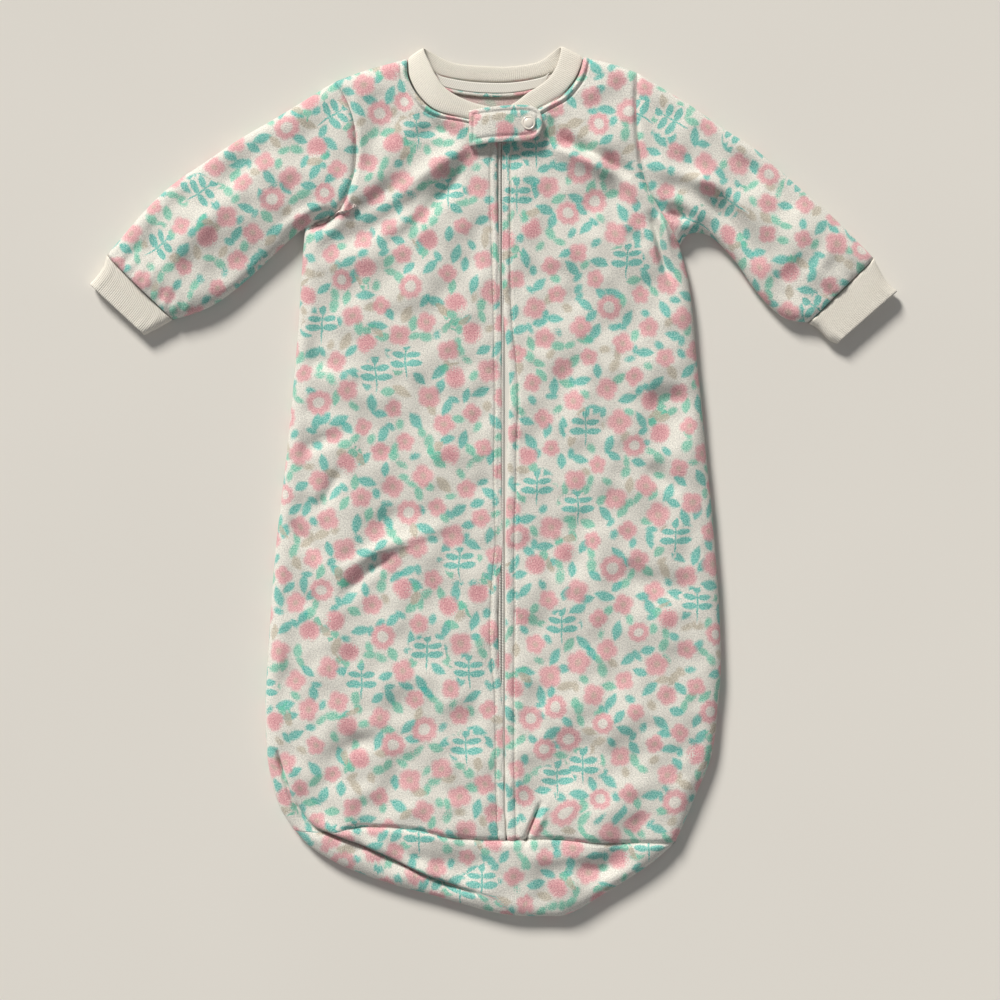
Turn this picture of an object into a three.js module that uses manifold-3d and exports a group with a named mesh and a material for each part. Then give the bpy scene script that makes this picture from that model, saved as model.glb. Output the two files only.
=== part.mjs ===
// Baby sleeping bag with sleeves, laid flat on its back: zip front, ribbed neck and cuffs, snapped neck tab.
// Millimetres. +X is the viewer's right, +Y towards the neck, +Z up. The back lies on z = 0.
import * as THREE from 'three';
import Module from 'manifold-3d';
import { mergeVertices } from 'three/addons/utils/BufferGeometryUtils.js';

const wasm = await Module();
wasm.setup();

// ---- main sizes ----
const CLOTH = 2.5;            // thickness of the padded cloth as drawn
const GAP = 0.3;              // air left between two pieces
const FRONT_TOP = 16.5;       // height of the front over the body
const EDGE_TOP = CLOTH + GAP + CLOTH;   // height of the front where it meets the back at a side seam
const ARMHOLE_TOP = 14;       // height of the front at the sleeve seams
const EDGE_REACH = 46;        // how far in from a side seam the front takes to reach its full height
const ZIP_X = 6;              // centre line of the zip
const ZIP_HALF_SLOT = 2.4;    // half the gap between the two fronts over the coil
const ZIP_BOTTOM = -266;
const ZIP_TOP = 281;

// ---- colours ----
const fabricPrint = new THREE.MeshStandardMaterial({ color: 0xe8d9d2, roughness: 0.92, metalness: 0 });
const fabricRib = new THREE.MeshStandardMaterial({ color: 0xe9e3d5, roughness: 0.85, metalness: 0 });
const fabricTape = new THREE.MeshStandardMaterial({ color: 0xf1efe9, roughness: 0.8, metalness: 0 });
const plasticWhite = new THREE.MeshStandardMaterial({ color: 0xf3f1ec, roughness: 0.35, metalness: 0 });
const metalWhite = new THREE.MeshStandardMaterial({ color: 0xeceae4, roughness: 0.4, metalness: 0 });
const pearl = new THREE.MeshStandardMaterial({ color: 0xf4efe6, roughness: 0.2, metalness: 0 });

const part = new THREE.Group();

function addPiece(name, geometry, material) {
  const mesh = new THREE.Mesh(geometry, material);
  mesh.name = name;
  part.add(mesh);
}

// ---- curves ----
function curvePoints(points, count) {
  const curve = new THREE.CatmullRomCurve3(points.map(([x, y, z = 0]) => new THREE.Vector3(x, y, z)));
  return Array.from({ length: count }, (_, i) => curve.getPoint(i / (count - 1)));
}

function offsetPoints(points, distance) {
  return points.map((point, i) => {
    const before = points[Math.max(i - 1, 0)];
    const after = points[Math.min(i + 1, points.length - 1)];
    const along = after.clone().sub(before).normalize();
    return new THREE.Vector3(point.x - along.y * distance, point.y + along.x * distance, point.z);
  });
}

// rises from 0 at the seam to 1 once a point is EDGE_REACH or more from it
function pillow(distance) {
  const near = 1 - Math.min(Math.max(distance / EDGE_REACH, 0), 1);
  return 1 - near ** 2.2;
}

// ---- closed solids ----
// Two grids of points of the same size, the outer face and the inner face, joined round their rim.
function gridSolid(outer, inner) {
  const rows = outer.length;
  const columns = outer[0].length;
  const positions = [];
  for (const grid of [outer, inner]) {
    for (const row of grid) {
      for (const point of row) positions.push(point.x, point.y, point.z);
    }
  }
  const at = (side, i, j) => side * rows * columns + i * columns + j;
  const index = [];
  const quad = (a, b, c, d) => index.push(a, b, c, a, c, d);
  for (let i = 0; i < rows - 1; i += 1) {
    for (let j = 0; j < columns - 1; j += 1) {
      quad(at(0, i, j), at(0, i, j + 1), at(0, i + 1, j + 1), at(0, i + 1, j));
      quad(at(1, i, j), at(1, i + 1, j), at(1, i + 1, j + 1), at(1, i, j + 1));
    }
  }
  for (let i = 0; i < rows - 1; i += 1) {
    quad(at(0, i, 0), at(0, i + 1, 0), at(1, i + 1, 0), at(1, i, 0));
    quad(at(0, i, columns - 1), at(1, i, columns - 1), at(1, i + 1, columns - 1), at(0, i + 1, columns - 1));
  }
  for (let j = 0; j < columns - 1; j += 1) {
    quad(at(0, 0, j), at(1, 0, j), at(1, 0, j + 1), at(0, 0, j + 1));
    quad(at(0, rows - 1, j), at(0, rows - 1, j + 1), at(1, rows - 1, j + 1), at(1, rows - 1, j));
  }
  return finish(positions, index);
}

// Rings of points along an open tube: its outer wall and its inner wall, joined at both ends.
function tubeSolid(outerRings, innerRings) {
  const stations = outerRings.length;
  const around = outerRings[0].length;
  const positions = [];
  for (const rings of [outerRings, innerRings]) {
    for (const ring of rings) {
      for (const point of ring) positions.push(point.x, point.y, point.z);
    }
  }
  const at = (side, i, j) => side * stations * around + i * around + (j % around);
  const index = [];
  const quad = (a, b, c, d) => index.push(a, b, c, a, c, d);
  for (let j = 0; j < around; j += 1) {
    for (let i = 0; i < stations - 1; i += 1) {
      quad(at(0, i, j), at(0, i, j + 1), at(0, i + 1, j + 1), at(0, i + 1, j));
      quad(at(1, i, j), at(1, i + 1, j), at(1, i + 1, j + 1), at(1, i, j + 1));
    }
    quad(at(0, 0, j), at(1, 0, j), at(1, 0, j + 1), at(0, 0, j + 1));
    const last = stations - 1;
    quad(at(0, last, j), at(0, last, j + 1), at(1, last, j + 1), at(1, last, j));
  }
  return finish(positions, index);
}

// Makes the geometry, turning it inside out first if its faces point inwards.
function finish(positions, index) {
  const corner = (i) => new THREE.Vector3().fromArray(positions, index[i] * 3);
  let volume = 0;
  for (let i = 0; i < index.length; i += 3) {
    volume += corner(i).dot(corner(i + 1).cross(corner(i + 2)));
  }
  const faces = [...index];
  if (volume < 0) {
    for (let i = 0; i < faces.length; i += 3) [faces[i + 1], faces[i + 2]] = [faces[i + 2], faces[i + 1]];
  }
  const geometry = new THREE.BufferGeometry();
  geometry.setAttribute('position', new THREE.Float32BufferAttribute(positions, 3));
  geometry.setIndex(faces);
  geometry.computeVertexNormals();
  return geometry;
}

function lowered(grid, thickness) {
  return grid.map((row) => row.map((point) => new THREE.Vector3(point.x, point.y, point.z - thickness)));
}

function block(low, high) {
  const geometry = new THREE.BoxGeometry(high[0] - low[0], high[1] - low[1], high[2] - low[2]);
  geometry.translate((low[0] + high[0]) / 2, (low[1] + high[1]) / 2, (low[2] + high[2]) / 2);
  return geometry;
}

function plate(outline, low, high) {
  const shape = new THREE.Shape(outline.map((point) => new THREE.Vector2(point.x, point.y)));
  const geometry = new THREE.ExtrudeGeometry(shape, { depth: high - low, bevelEnabled: false });
  geometry.translate(0, 0, low);
  return geometry;
}

// ---- outline of the body ----
// Sides, from the base corner up to the armpit.
const SIDE_LEFT = [[-152, -266], [-163.5, -247], [-171.5, -219], [-174, -180], [-172.5, -140], [-167, -60],
  [-158, 20], [-150, 105], [-146, 165], [-144, 192]];
const SIDE_RIGHT = [[139, -275], [152, -245], [166, -210], [171.5, -172], [173.5, -125], [169, -50],
  [161, 35], [154, 105], [149, 152], [142, 180]];
// Sleeve seams, from the armpit up to the shoulder tip.
const ARMHOLE_LEFT = [[-144, 192], [-120, 202.5], [-106.5, 231], [-104.5, 263], [-110.5, 287], [-120.5, 305]];
const ARMHOLE_RIGHT = [[142, 180], [127.5, 205], [115.5, 228], [110, 258], [108.6, 285], [109.5, 312]];
// Neck seams: the fronts from the zip round to the shoulder, and the back from left to right.
const NECK_LEFT = [[3.6, 271], [-21, 275.5], [-43, 280.5], [-56, 291], [-64.5, 306], [-66, 322.5]];
const NECK_RIGHT = [[8.4, 271], [24, 276.5], [39, 285], [53, 293.5], [64, 307], [69, 323.5]];
const NECK_BACK = [[-66, 322.5], [-40, 309.3], [-16, 305.4], [12.5, 304.8], [39, 309.3], [69, 323.5]];
// Seam between the fronts and the base panel, and the lower rim of the bag.
const BASE_SEAM = [[-152, -266], [-124, -267], [-100, -262.5], [-60, -264.5], [-34, -270.5], [4, -272.8],
  [40, -271.6], [85, -275], [139, -275]];
const RIM = [[-152, -266], [-139, -279.5], [-115, -293.4], [-81, -306.2], [-44.5, -316.2], [4, -329.6],
  [38, -331.6], [60, -329], [95, -308], [121, -291], [139, -275]];

// ---- back panel: one flat sheet on the floor ----
const backOutline = [
  ...curvePoints(RIM, 25),
  ...curvePoints(SIDE_RIGHT, 19).slice(1),
  ...curvePoints(ARMHOLE_RIGHT, 11).slice(1),
  ...offsetPoints(curvePoints(NECK_BACK, 15), -GAP).reverse(),
  ...curvePoints(ARMHOLE_LEFT, 11).reverse(),
  ...curvePoints(SIDE_LEFT, 19).reverse().slice(1, -1),
];
addPiece('back_panel', plate(backOutline, 0, CLOTH), fabricPrint);

// ---- front panels ----
// Height of the front's outer face. outward is the distance to the side or sleeve seam, hang is 1
// along a side seam and 0 along a sleeve seam, and shoulder is the distance to the shoulder seam.
function frontHeight(outward, hang, shoulder) {
  const seam = THREE.MathUtils.lerp(ARMHOLE_TOP, EDGE_TOP, hang);
  const across = seam + (FRONT_TOP - seam) * pillow(outward);
  return EDGE_TOP + (across - EDGE_TOP) * pillow(shoulder * 1.6);
}

const ACROSS = [0, 0.03, 0.08, 0.15, 0.25, 0.4, 0.6, 0.8, 1];
const SIDE_ROWS = 15;
const ARMHOLE_ROWS = 13;
const SEAM_ROWS = 4;          // rows over which the lower edge's curve fades out

const seamLine = curvePoints(BASE_SEAM, 60);
function seamAt(x) {
  const after = Math.max(1, seamLine.findIndex((point) => point.x >= x));
  const [a, b] = [seamLine[after - 1], seamLine[after]];
  return THREE.MathUtils.lerp(a.y, b.y, (x - a.x) / (b.x - a.x));
}

function frontPanel(side, armhole, neck, zipEdge) {
  const outerEdge = [...curvePoints(side, SIDE_ROWS), ...curvePoints(armhole, ARMHOLE_ROWS).slice(1)];
  const neckRows = 9;
  const neckEdge = offsetPoints(curvePoints(neck, neckRows), zipEdge < ZIP_X ? GAP : -GAP);
  const zipRows = outerEdge.length - neckRows;
  const zipPoints = Array.from({ length: zipRows }, (_, i) => {
    const y = THREE.MathUtils.lerp(seamAt(zipEdge), neck[0][1] - 6, i / (zipRows - 1));
    return new THREE.Vector3(zipEdge, y, 0);
  });
  const innerEdge = [...zipPoints, ...neckEdge];
  innerEdge[zipRows].x = zipEdge;
  const shoulder = [outerEdge.at(-1), innerEdge.at(-1)];
  const shoulderLine = new THREE.Line3(...shoulder);
  const nearest = new THREE.Vector3();
  const outer = outerEdge.map((edge, i) => {
    const hang = i < SIDE_ROWS ? 1 - Math.max(0, (i - SIDE_ROWS + 3) / 4) : Math.max(0, 0.4 - (i - SIDE_ROWS) * 0.2);
    return ACROSS.map((u) => {
      const point = edge.clone().lerp(innerEdge[i], u);
      const straight = THREE.MathUtils.lerp(outerEdge[0].y, innerEdge[0].y, u);
      point.y += (seamAt(point.x) + 2 * GAP - straight) * Math.max(0, 1 - i / SEAM_ROWS);
      shoulderLine.closestPointToPoint(point, true, nearest);
      point.z = frontHeight(edge.distanceTo(point), hang, point.distanceTo(nearest));
      return point;
    });
  });
  return gridSolid(outer, lowered(outer, CLOTH));
}

addPiece('front_panel_left', frontPanel(SIDE_LEFT, ARMHOLE_LEFT, NECK_LEFT, ZIP_X - ZIP_HALF_SLOT), fabricPrint);
addPiece('front_panel_right', frontPanel(SIDE_RIGHT, ARMHOLE_RIGHT, NECK_RIGHT, ZIP_X + ZIP_HALF_SLOT), fabricPrint);

// ---- base panel: the strip below the fronts that turns down to the rim ----
const DOWN = [0, 0.2, 0.4, 0.6, 0.75, 0.87, 0.95, 1];
const BASE_COLUMNS = 29;
const seamPoints = Array.from({ length: BASE_COLUMNS }, (_, j) => {
  const x = THREE.MathUtils.lerp(-146, 134, j / (BASE_COLUMNS - 1));
  return new THREE.Vector3(x, seamAt(x) - GAP - 0.2, 0);
});
const rimPoints = curvePoints([[-150, -268.8], ...RIM.slice(1, -1), [137, -277.6]], BASE_COLUMNS);
const basePoints = DOWN.map((down) => seamPoints.map((seam, j) => {
  const point = seam.clone().lerp(rimPoints[j], down);
  const toEnd = Math.min(seam.distanceTo(seamPoints[0]), seam.distanceTo(seamPoints[BASE_COLUMNS - 1]));
  const round = Math.sqrt(1 - down ** 4);
  point.z = EDGE_TOP + (FRONT_TOP - EDGE_TOP) * pillow(toEnd) * round;
  return point;
}));
addPiece('base_panel', gridSolid(basePoints, lowered(basePoints, CLOTH)), fabricPrint);

// ---- sleeves and cuffs: flattened open tubes ----
// Each station is the top edge, middle and underarm edge of the tube. A sleeve folds over the front at
// FOLD_LEFT or FOLD_RIGHT, so it is two solids there: the upper one stays with the bag.
const FOLD_LEFT = -150.3;
const FOLD_RIGHT = 150.4;
const SLEEVE_LEFT_UPPER = [
  [[-129, 299.8], [-122, 250], [-146, 190.6]],
  [[FOLD_LEFT + 0.4, 287.3], [FOLD_LEFT + 0.4, 240], [FOLD_LEFT + 0.4, 189]],
];
const SLEEVE_LEFT = [
  [[FOLD_LEFT - 0.4, 286.9], [FOLD_LEFT - 0.4, 240], [FOLD_LEFT - 0.4, 188.6]],
  [[-170, 275.3], [-163, 231], [-168, 172.5]],
  [[-194, 260.7], [-184, 212], [-183, 158.5]], [[-219, 244.5], [-206, 196], [-198, 145.5]],
  [[-243, 228], [-227, 180], [-212, 135.5]], [[-268, 204.5], [-249, 163], [-227, 128.5]],
  [[-294.8, 173.2], [-269.5, 148.7], [-244.2, 124.2]],
];
const SLEEVE_RIGHT_UPPER = [
  [[128, 302.5], [124, 248], [145.5, 186]],
  [[FOLD_RIGHT - 0.4, 287.3], [FOLD_RIGHT - 0.4, 238], [FOLD_RIGHT - 0.4, 189]],
];
const SLEEVE_RIGHT = [
  [[FOLD_RIGHT + 0.4, 286.8], [FOLD_RIGHT + 0.4, 238], [FOLD_RIGHT + 0.4, 189.2]],
  [[165, 276.6], [160, 229], [166, 186.5]],
  [[180.5, 266], [177, 215], [184, 168.5]], [[203, 251], [196, 200], [196.5, 150.5]],
  [[236.5, 221.5], [221, 176], [208, 136.5]], [[261, 200], [242, 160], [223, 124]],
  [[290.2, 171.2], [265, 146.5], [240, 121.8]],
];
const CUFF_LEFT = [
  [[-295.2, 171.6], [-270.3, 147.2], [-245.4, 122.8]], [[-301.5, 161], [-278, 138.6], [-255, 117.3]],
  [[-308.2, 150.5], [-287.3, 131.1], [-266.4, 111.7]],
];
const CUFF_RIGHT = [
  [[290.8, 169.4], [266, 144.8], [241, 120.2]], [[299.5, 157.5], [275, 134.8], [251.5, 112.2]],
  [[308.2, 145.2], [284.5, 125], [262, 105]],
];
const RING_HALF = 9;          // points along the top of each ring, and again along its underside

// Points round one flattened ring: over the top from one edge to the other and back underneath.
function flatRing(chord, height, wall) {
  const width = chord[0].distanceTo(chord[chord.length - 1]);
  const curve = new THREE.CatmullRomCurve3(chord);
  const inset = wall / width;
  const half = height / 2 - wall;
  const ring = [];
  for (const side of [1, -1]) {
    for (let k = 0; k < RING_HALF; k += 1) {
      const turn = (Math.PI * (k + (side === 1 ? 0 : 1))) / RING_HALF;
      const w = side === 1 ? (1 - Math.cos(turn)) / 2 : (1 + Math.cos(turn - Math.PI / RING_HALF)) / 2;
      const rounding = Math.min(1, Math.sqrt(Math.max(0, 1 - (2 * w - 1) ** 8)));
      const point = curve.getPoint(inset + w * (1 - 2 * inset));
      point.z = height / 2 + side * half * rounding;
      ring.push(point);
    }
  }
  return ring;
}

function sleeveTube(stations, heights, wall) {
  const outer = stations.map((chord, i) => flatRing(chord, heights[i], 0));
  const inner = stations.map((chord, i) => flatRing(chord, heights[i], wall));
  return tubeSolid(outer, inner);
}

const toChord = (points) => points.map(([x, y]) => new THREE.Vector3(x, y, 0));
const UPPER_HEIGHTS = [14, 14.2, 14.5];
const SLEEVE_HEIGHTS = [14.5, 15, 15.5, 16, 15.5, 14, 12.5];

function upperSleeve(armhole, stations, away) {
  const seam = offsetPoints(curvePoints(armhole, 13), away).reverse();
  return sleeveTube([seam, ...stations.map(toChord)], UPPER_HEIGHTS, 2.2);
}

addPiece('sleeve_left_upper', upperSleeve(ARMHOLE_LEFT, SLEEVE_LEFT_UPPER, 0.9), fabricPrint);
addPiece('sleeve_right_upper', upperSleeve(ARMHOLE_RIGHT, SLEEVE_RIGHT_UPPER, -0.9), fabricPrint);
addPiece('sleeve_left', sleeveTube(SLEEVE_LEFT.map(toChord), SLEEVE_HEIGHTS, 2.2), fabricPrint);
addPiece('sleeve_right', sleeveTube(SLEEVE_RIGHT.map(toChord), SLEEVE_HEIGHTS, 2.2), fabricPrint);
addPiece('cuff_left', sleeveTube(CUFF_LEFT.map(toChord), [12, 11, 10.5], 2), fabricRib);
addPiece('cuff_right', sleeveTube(CUFF_RIGHT.map(toChord), [12, 11, 10.5], 2), fabricRib);

// ---- ribbed neck band: a short tube, open at the zip, with a fold at each shoulder ----
const RIB = 2.2;
// One row per place along the band: seam edge x, y, z and free edge x, y, z.
const NECK_BAND = [
  [3.6, 271.4, 15.3, 3.6, 282.4, 15.3], [-21, 276, 15.3, -18, 288, 15.3], [-42.5, 281.2, 15, -35, 297, 14.8],
  [-55.2, 291.8, 13.4, -43, 307, 13.2], [-63.4, 306.8, 10.5, -48.5, 318.5, 11], [-65, 321.5, 6.2, -53, 329.5, 7.5],
  [-58, 319.6, 2.2, -48, 328.2, 2.8], [-40, 310.6, 1.3, -30, 320.3, 1.3], [-16, 306.7, 1.2, -5, 317.7, 1.2],
  [12.5, 306.1, 1.2, 14, 317.6, 1.2], [39, 310.6, 1.3, 34, 321, 1.3], [60, 319.8, 2.2, 46, 328.9, 2.8],
  [67.8, 322.6, 6.2, 51.5, 330.37, 7.5], [62.9, 307.8, 10.5, 47.6, 315, 11], [52.2, 294.3, 13.4, 39, 303.5, 13.2],
  [38.4, 285.8, 15, 26, 294.5, 14.8], [24, 277.2, 15.3, 17, 287.5, 15.3], [8.4, 271.6, 15.3, 8.4, 282.6, 15.3],
];

function neckBand() {
  const count = 37;
  const seam = curvePoints(NECK_BAND.map((row) => row.slice(0, 3)), count);
  const free = curvePoints(NECK_BAND.map((row) => row.slice(3)), count);
  const outer = [];
  const inner = [];
  for (let i = 0; i < count; i += 1) {
    const before = seam[Math.max(i - 1, 0)].clone().add(free[Math.max(i - 1, 0)]);
    const after = seam[Math.min(i + 1, count - 1)].clone().add(free[Math.min(i + 1, count - 1)]);
    const along = after.sub(before).normalize();
    const across = free[i].clone().sub(seam[i]).normalize();
    const out = across.clone().cross(along).normalize().multiplyScalar(RIB / 2);
    const row = [0, 0.5, 1].map((u) => seam[i].clone().lerp(free[i], u));
    outer.push(row.map((point) => point.clone().add(out)));
    inner.push(row.map((point) => point.clone().sub(out)));
  }
  return gridSolid(outer, inner);
}

addPiece('neck_rib', neckBand(), fabricRib);

// ---- tape over the back neck seam, inside ----
const TAPE_TOP = [[-37, 306.4], [-16, 303.3], [12.5, 302.8], [36, 306.4]];
const TAPE_LOW = [[-32, 297.5], [-14, 294.6], [12, 294.2], [32, 298]];
const tapeGrid = [curvePoints(TAPE_TOP, 12), curvePoints(TAPE_LOW, 12)];
for (const row of tapeGrid) {
  for (const point of row) point.z = CLOTH + GAP + 0.8;
}
addPiece('neck_tape', gridSolid(tapeGrid, lowered(tapeGrid, 0.8)), fabricTape);

// ---- zip ----
const TAPE_WIDTH = 12.6;
for (const [name, side] of [['left', -1], ['right', 1]]) {
  const inner = ZIP_X + side * 0.4;
  const outer = ZIP_X + side * (0.4 + TAPE_WIDTH);
  const coilInner = ZIP_X + side * 0.2;
  const coilOuter = ZIP_X + side * 2;
  const [tapeLow, tapeHigh] = [Math.min(inner, outer), Math.max(inner, outer)];
  const [coilLow, coilHigh] = [Math.min(coilInner, coilOuter), Math.max(coilInner, coilOuter)];
  addPiece(`zip_tape_${name}`, block([tapeLow, ZIP_BOTTOM - 3, 13.1], [tapeHigh, ZIP_TOP + 1, 13.65]), fabricTape);
  addPiece(`zip_coil_${name}`, block([coilLow, ZIP_BOTTOM, 13.95], [coilHigh, ZIP_TOP - 2.4, 15.6]), plasticWhite);
  addPiece(`zip_top_stop_${name}`, block([coilLow, ZIP_TOP - 2.1, 13.95], [coilHigh, ZIP_TOP, 15.75]), plasticWhite);
}
addPiece('zip_bottom_stop', block([ZIP_X - 2, ZIP_BOTTOM - 2.6, 13.95], [ZIP_X + 2, ZIP_BOTTOM - 0.3, 15.8]), plasticWhite);

// ---- joining and cutting of closed solids ----
function toManifold(geometry) {
  const bare = geometry.clone();
  bare.deleteAttribute('normal');
  bare.deleteAttribute('uv');
  const merged = mergeVertices(bare);
  return new wasm.Manifold(new wasm.Mesh({
    numProp: 3,
    vertProperties: Float32Array.from(merged.attributes.position.array),
    triVerts: Uint32Array.from(merged.index.array),
  }));
}

function fromManifold(solid) {
  const mesh = solid.getMesh();
  const geometry = new THREE.BufferGeometry();
  geometry.setAttribute('position', new THREE.Float32BufferAttribute(mesh.vertProperties, 3));
  geometry.setIndex(Array.from(mesh.triVerts));
  geometry.computeVertexNormals();
  return geometry;
}

// ---- slider: a top plate, an arch over it for the pull, and a keel down in the slot ----
const PULL_Y = 274.6;         // where the pull hangs in the slider's arch
const PULL_Z = 18.45;
const wing = [[-1.5, 269], [1.5, 269], [3.4, 269.4], [4.3, 272], [4.3, 278.5], [3.2, 280.5], [-3.2, 280.5],
  [-4.3, 278.5], [-4.3, 272], [-3.4, 269.4]];
const wingPoints = wing.map(([x, y]) => new THREE.Vector3(ZIP_X + x, y, 0));
const archEnds = block([ZIP_X - 1.2, 270.4, 17.5], [ZIP_X + 1.2, 278.8, 19.5]);
const archWindow = block([ZIP_X - 2, 271.6, 17.95], [ZIP_X + 2, 277.5, 18.85]);
const keel = block([ZIP_X - 1.5, 272, 15.9], [ZIP_X + 1.5, 278, 17]);
const arch = toManifold(archEnds).subtract(toManifold(archWindow));
const slider = toManifold(plate(wingPoints, 16.8, 17.7)).add(arch).add(toManifold(keel));
addPiece('slider_body', fromManifold(slider), metalWhite);

const tag = [[-2.4, 0.25], [2.4, 0.25], [2.4, -5], [2.9, -8], [2.9, -13.5], [1.8, -15.4], [-1.8, -15.4],
  [-2.9, -13.5], [-2.9, -8], [-2.4, -5]];
const tagPoints = tag.map(([x, y]) => new THREE.Vector3(ZIP_X + x, PULL_Y + y, 0));
const tagHole = block([ZIP_X - 1.5, PULL_Y - 4.6, PULL_Z - 1], [ZIP_X + 1.5, PULL_Y - 0.25, PULL_Z + 1]);
const pull = toManifold(plate(tagPoints, PULL_Z - 0.25, PULL_Z + 0.25)).subtract(toManifold(tagHole));
addPiece('slider_pull', fromManifold(pull), metalWhite);

// ---- neck tab: rows of x, upper y, lower y and the height of its underside ----
const TAB = [
  [-18.4, 280.4, 253.4, 16.9], [-12, 281.2, 254.1, 18.6], [-4, 282.2, 255.2, 20.3], [6, 283.2, 256, 20.6],
  [16, 283.9, 256.5, 20.3], [23, 284.1, 257, 19.6], [29, 283.3, 258, 19.5], [33, 281, 260.6, 19.5],
  [35.7, 277.6, 264, 19.5], [37, 273.4, 268.2, 19.5],
];
const SNAP_X = 26.6;
const SNAP_Y = 270.2;

function tabLayer(inset, above, thickness) {
  const outer = TAB.map(([x, upper, lower, z]) => {
    const cut = Math.min(inset, (upper - lower) / 2 - 1);
    const place = Math.min(x, 37 - inset);
    return [upper - cut, (upper + lower) / 2, lower + cut]
      .map((y) => new THREE.Vector3(place, y, z + above + thickness));
  });
  return gridSolid(outer, lowered(outer, thickness));
}
const tabLining = tabLayer(1, 0, 0.8);
const tabOuter = tabLayer(0, 0.8 + GAP, 2.5);
addPiece('neck_tab', tabOuter, fabricPrint);
addPiece('neck_tab_lining', tabLining, fabricTape);

// ---- snap: profiles turned about its own centre line, as radius and height ----
function turned(profile) {
  const geometry = new THREE.LatheGeometry(profile.map(([r, z]) => new THREE.Vector2(r, z)), 32);
  geometry.rotateX(Math.PI / 2);
  geometry.translate(SNAP_X, SNAP_Y, 0);
  return geometry;
}
addPiece('snap_cap', turned([[0, 23.4], [4.6, 23.4], [5.1, 23.8], [5.1, 24.3], [4.4, 24.9], [3.4, 24.6], [0, 25.1]]), pearl);
addPiece('snap_socket', turned([[2.2, 17.7], [4.6, 17.7], [4.6, 19.2], [2.2, 19.2], [2.2, 17.7]]), plasticWhite);
addPiece('snap_stud', turned([[0, 16.8], [4.6, 16.8], [4.6, 17.4], [1.8, 17.4], [1.8, 18.8], [0, 18.8]]), plasticWhite);
addPiece('snap_back_ring', turned([[2, 12.9], [4.6, 12.9], [4.6, 13.7], [2, 13.7], [2, 12.9]]), plasticWhite);

export default part;
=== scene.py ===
"""A baby sleeping bag of printed fleece, laid flat on its back: how each piece of it looks."""
import math

import bmesh
import bpy
import numpy as np
from mathutils import Euler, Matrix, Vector


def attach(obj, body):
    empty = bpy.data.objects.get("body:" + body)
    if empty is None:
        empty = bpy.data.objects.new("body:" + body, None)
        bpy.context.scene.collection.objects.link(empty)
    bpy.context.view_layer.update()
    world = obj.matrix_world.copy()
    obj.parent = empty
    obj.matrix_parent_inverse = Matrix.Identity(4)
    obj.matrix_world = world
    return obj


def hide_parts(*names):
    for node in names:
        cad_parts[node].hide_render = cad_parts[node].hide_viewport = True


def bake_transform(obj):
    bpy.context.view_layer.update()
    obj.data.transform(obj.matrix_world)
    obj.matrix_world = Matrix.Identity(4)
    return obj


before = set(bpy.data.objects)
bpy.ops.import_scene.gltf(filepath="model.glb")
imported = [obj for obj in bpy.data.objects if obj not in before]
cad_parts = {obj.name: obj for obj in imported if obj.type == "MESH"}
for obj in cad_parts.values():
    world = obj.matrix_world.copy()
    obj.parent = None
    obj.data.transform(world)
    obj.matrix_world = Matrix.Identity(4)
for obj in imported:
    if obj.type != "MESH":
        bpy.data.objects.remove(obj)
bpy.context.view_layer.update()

MM = 0.001

# ---------------------------------------------------------------- sizes, in millimetres
ZIP_X = 6.0                  # centre line of the zip
ZIP_BOTTOM = -266.0
ZIP_TOP = 278.6
STITCH_FROM_SLIT = {True: 5.6, False: 7.6}   # topstitching left and right of the zip
STITCH_FROM_COLLAR = 5.0     # topstitching below the neck band
CLOTH = 2.0                  # thickness of the fleece
SEAM_HEIGHT = 5.5            # height of the side seams off the floor
BODY_HEIGHT = 16.0           # height of the front over the body
SLEEVE_HEIGHT = 13.4         # height of the front near the edges and on the sleeves
LOWEST_FOLD = 5.0            # a valley in the front stops here, resting on the back
ROLL = 11.0                  # radius of the front's rolled edge at a side seam
BACK_ROLL = 8.0              # and of the back's
RESTING = 0.3                # height of the back's outer face where it lies on the floor
NECK_ROWS = 58               # rows of each front's grid that end at the neck band
TAB_SEWN, TAB_TIP = -18.6, 37.3   # ends of the neck tab
TAPE_HEIGHT = 13.7           # height of the zip tapes' outer face
COIL_HEIGHT = 14.7           # height of the middle of the coil's wire
COIL_WIRE = 0.42             # radius of that wire
COIL_PITCH = 1.2             # from one loop of the coil to the next
STITCH_RADIUS = 0.26         # of the sewing thread, drawn a little thick
FLOOR_REACH = 6000           # half the side of the floor

SIDE_LEFT = [(-152, -266), (-163.5, -247), (-171.5, -219), (-174, -180), (-172.5, -140), (-167, -60),
             (-158, 20), (-150, 105), (-146, 165), (-144, 192)]
SIDE_RIGHT = [(139, -275), (152, -245), (166, -210), (171.5, -172), (173.5, -125), (169, -50),
              (161, 35), (154, 105), (149, 152), (142, 180)]
ARMHOLE_LEFT = [(-144, 192), (-120, 202.5), (-106.5, 231), (-104.5, 263), (-110.5, 287), (-120.5, 305)]
ARMHOLE_RIGHT = [(142, 180), (127.5, 205), (115.5, 228), (110, 258), (108.6, 285), (109.5, 312)]
NECK_LEFT = [(4, 271), (-21, 275.5), (-43, 280.5), (-56, 291), (-64.5, 306), (-66, 322.5)]
NECK_RIGHT = [(8, 271), (24, 276.5), (39, 285), (53, 293.5), (64, 307), (69, 323.5)]
NECK_BACK = [(-66, 322.5), (-40, 309.3), (-16, 305.4), (12.5, 304.8), (39, 309.3), (69, 323.5)]
NECK_TAPE_TOP = [(-44, 312.2), (-38, 309), (-16, 305.2), (12.5, 304.6), (36, 308.4), (43, 312.4)]
NECK_TAPE_LOW = [(-40, 303), (-34, 300.4), (-14, 297.2), (12, 296.8), (33, 300.4), (39, 303)]
BASE_SEAM = [(-152, -266), (-124, -267), (-100, -262.5), (-60, -264.5), (-34, -270.5), (4, -272.8),
             (40, -271.6), (85, -275), (139, -275)]
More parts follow.
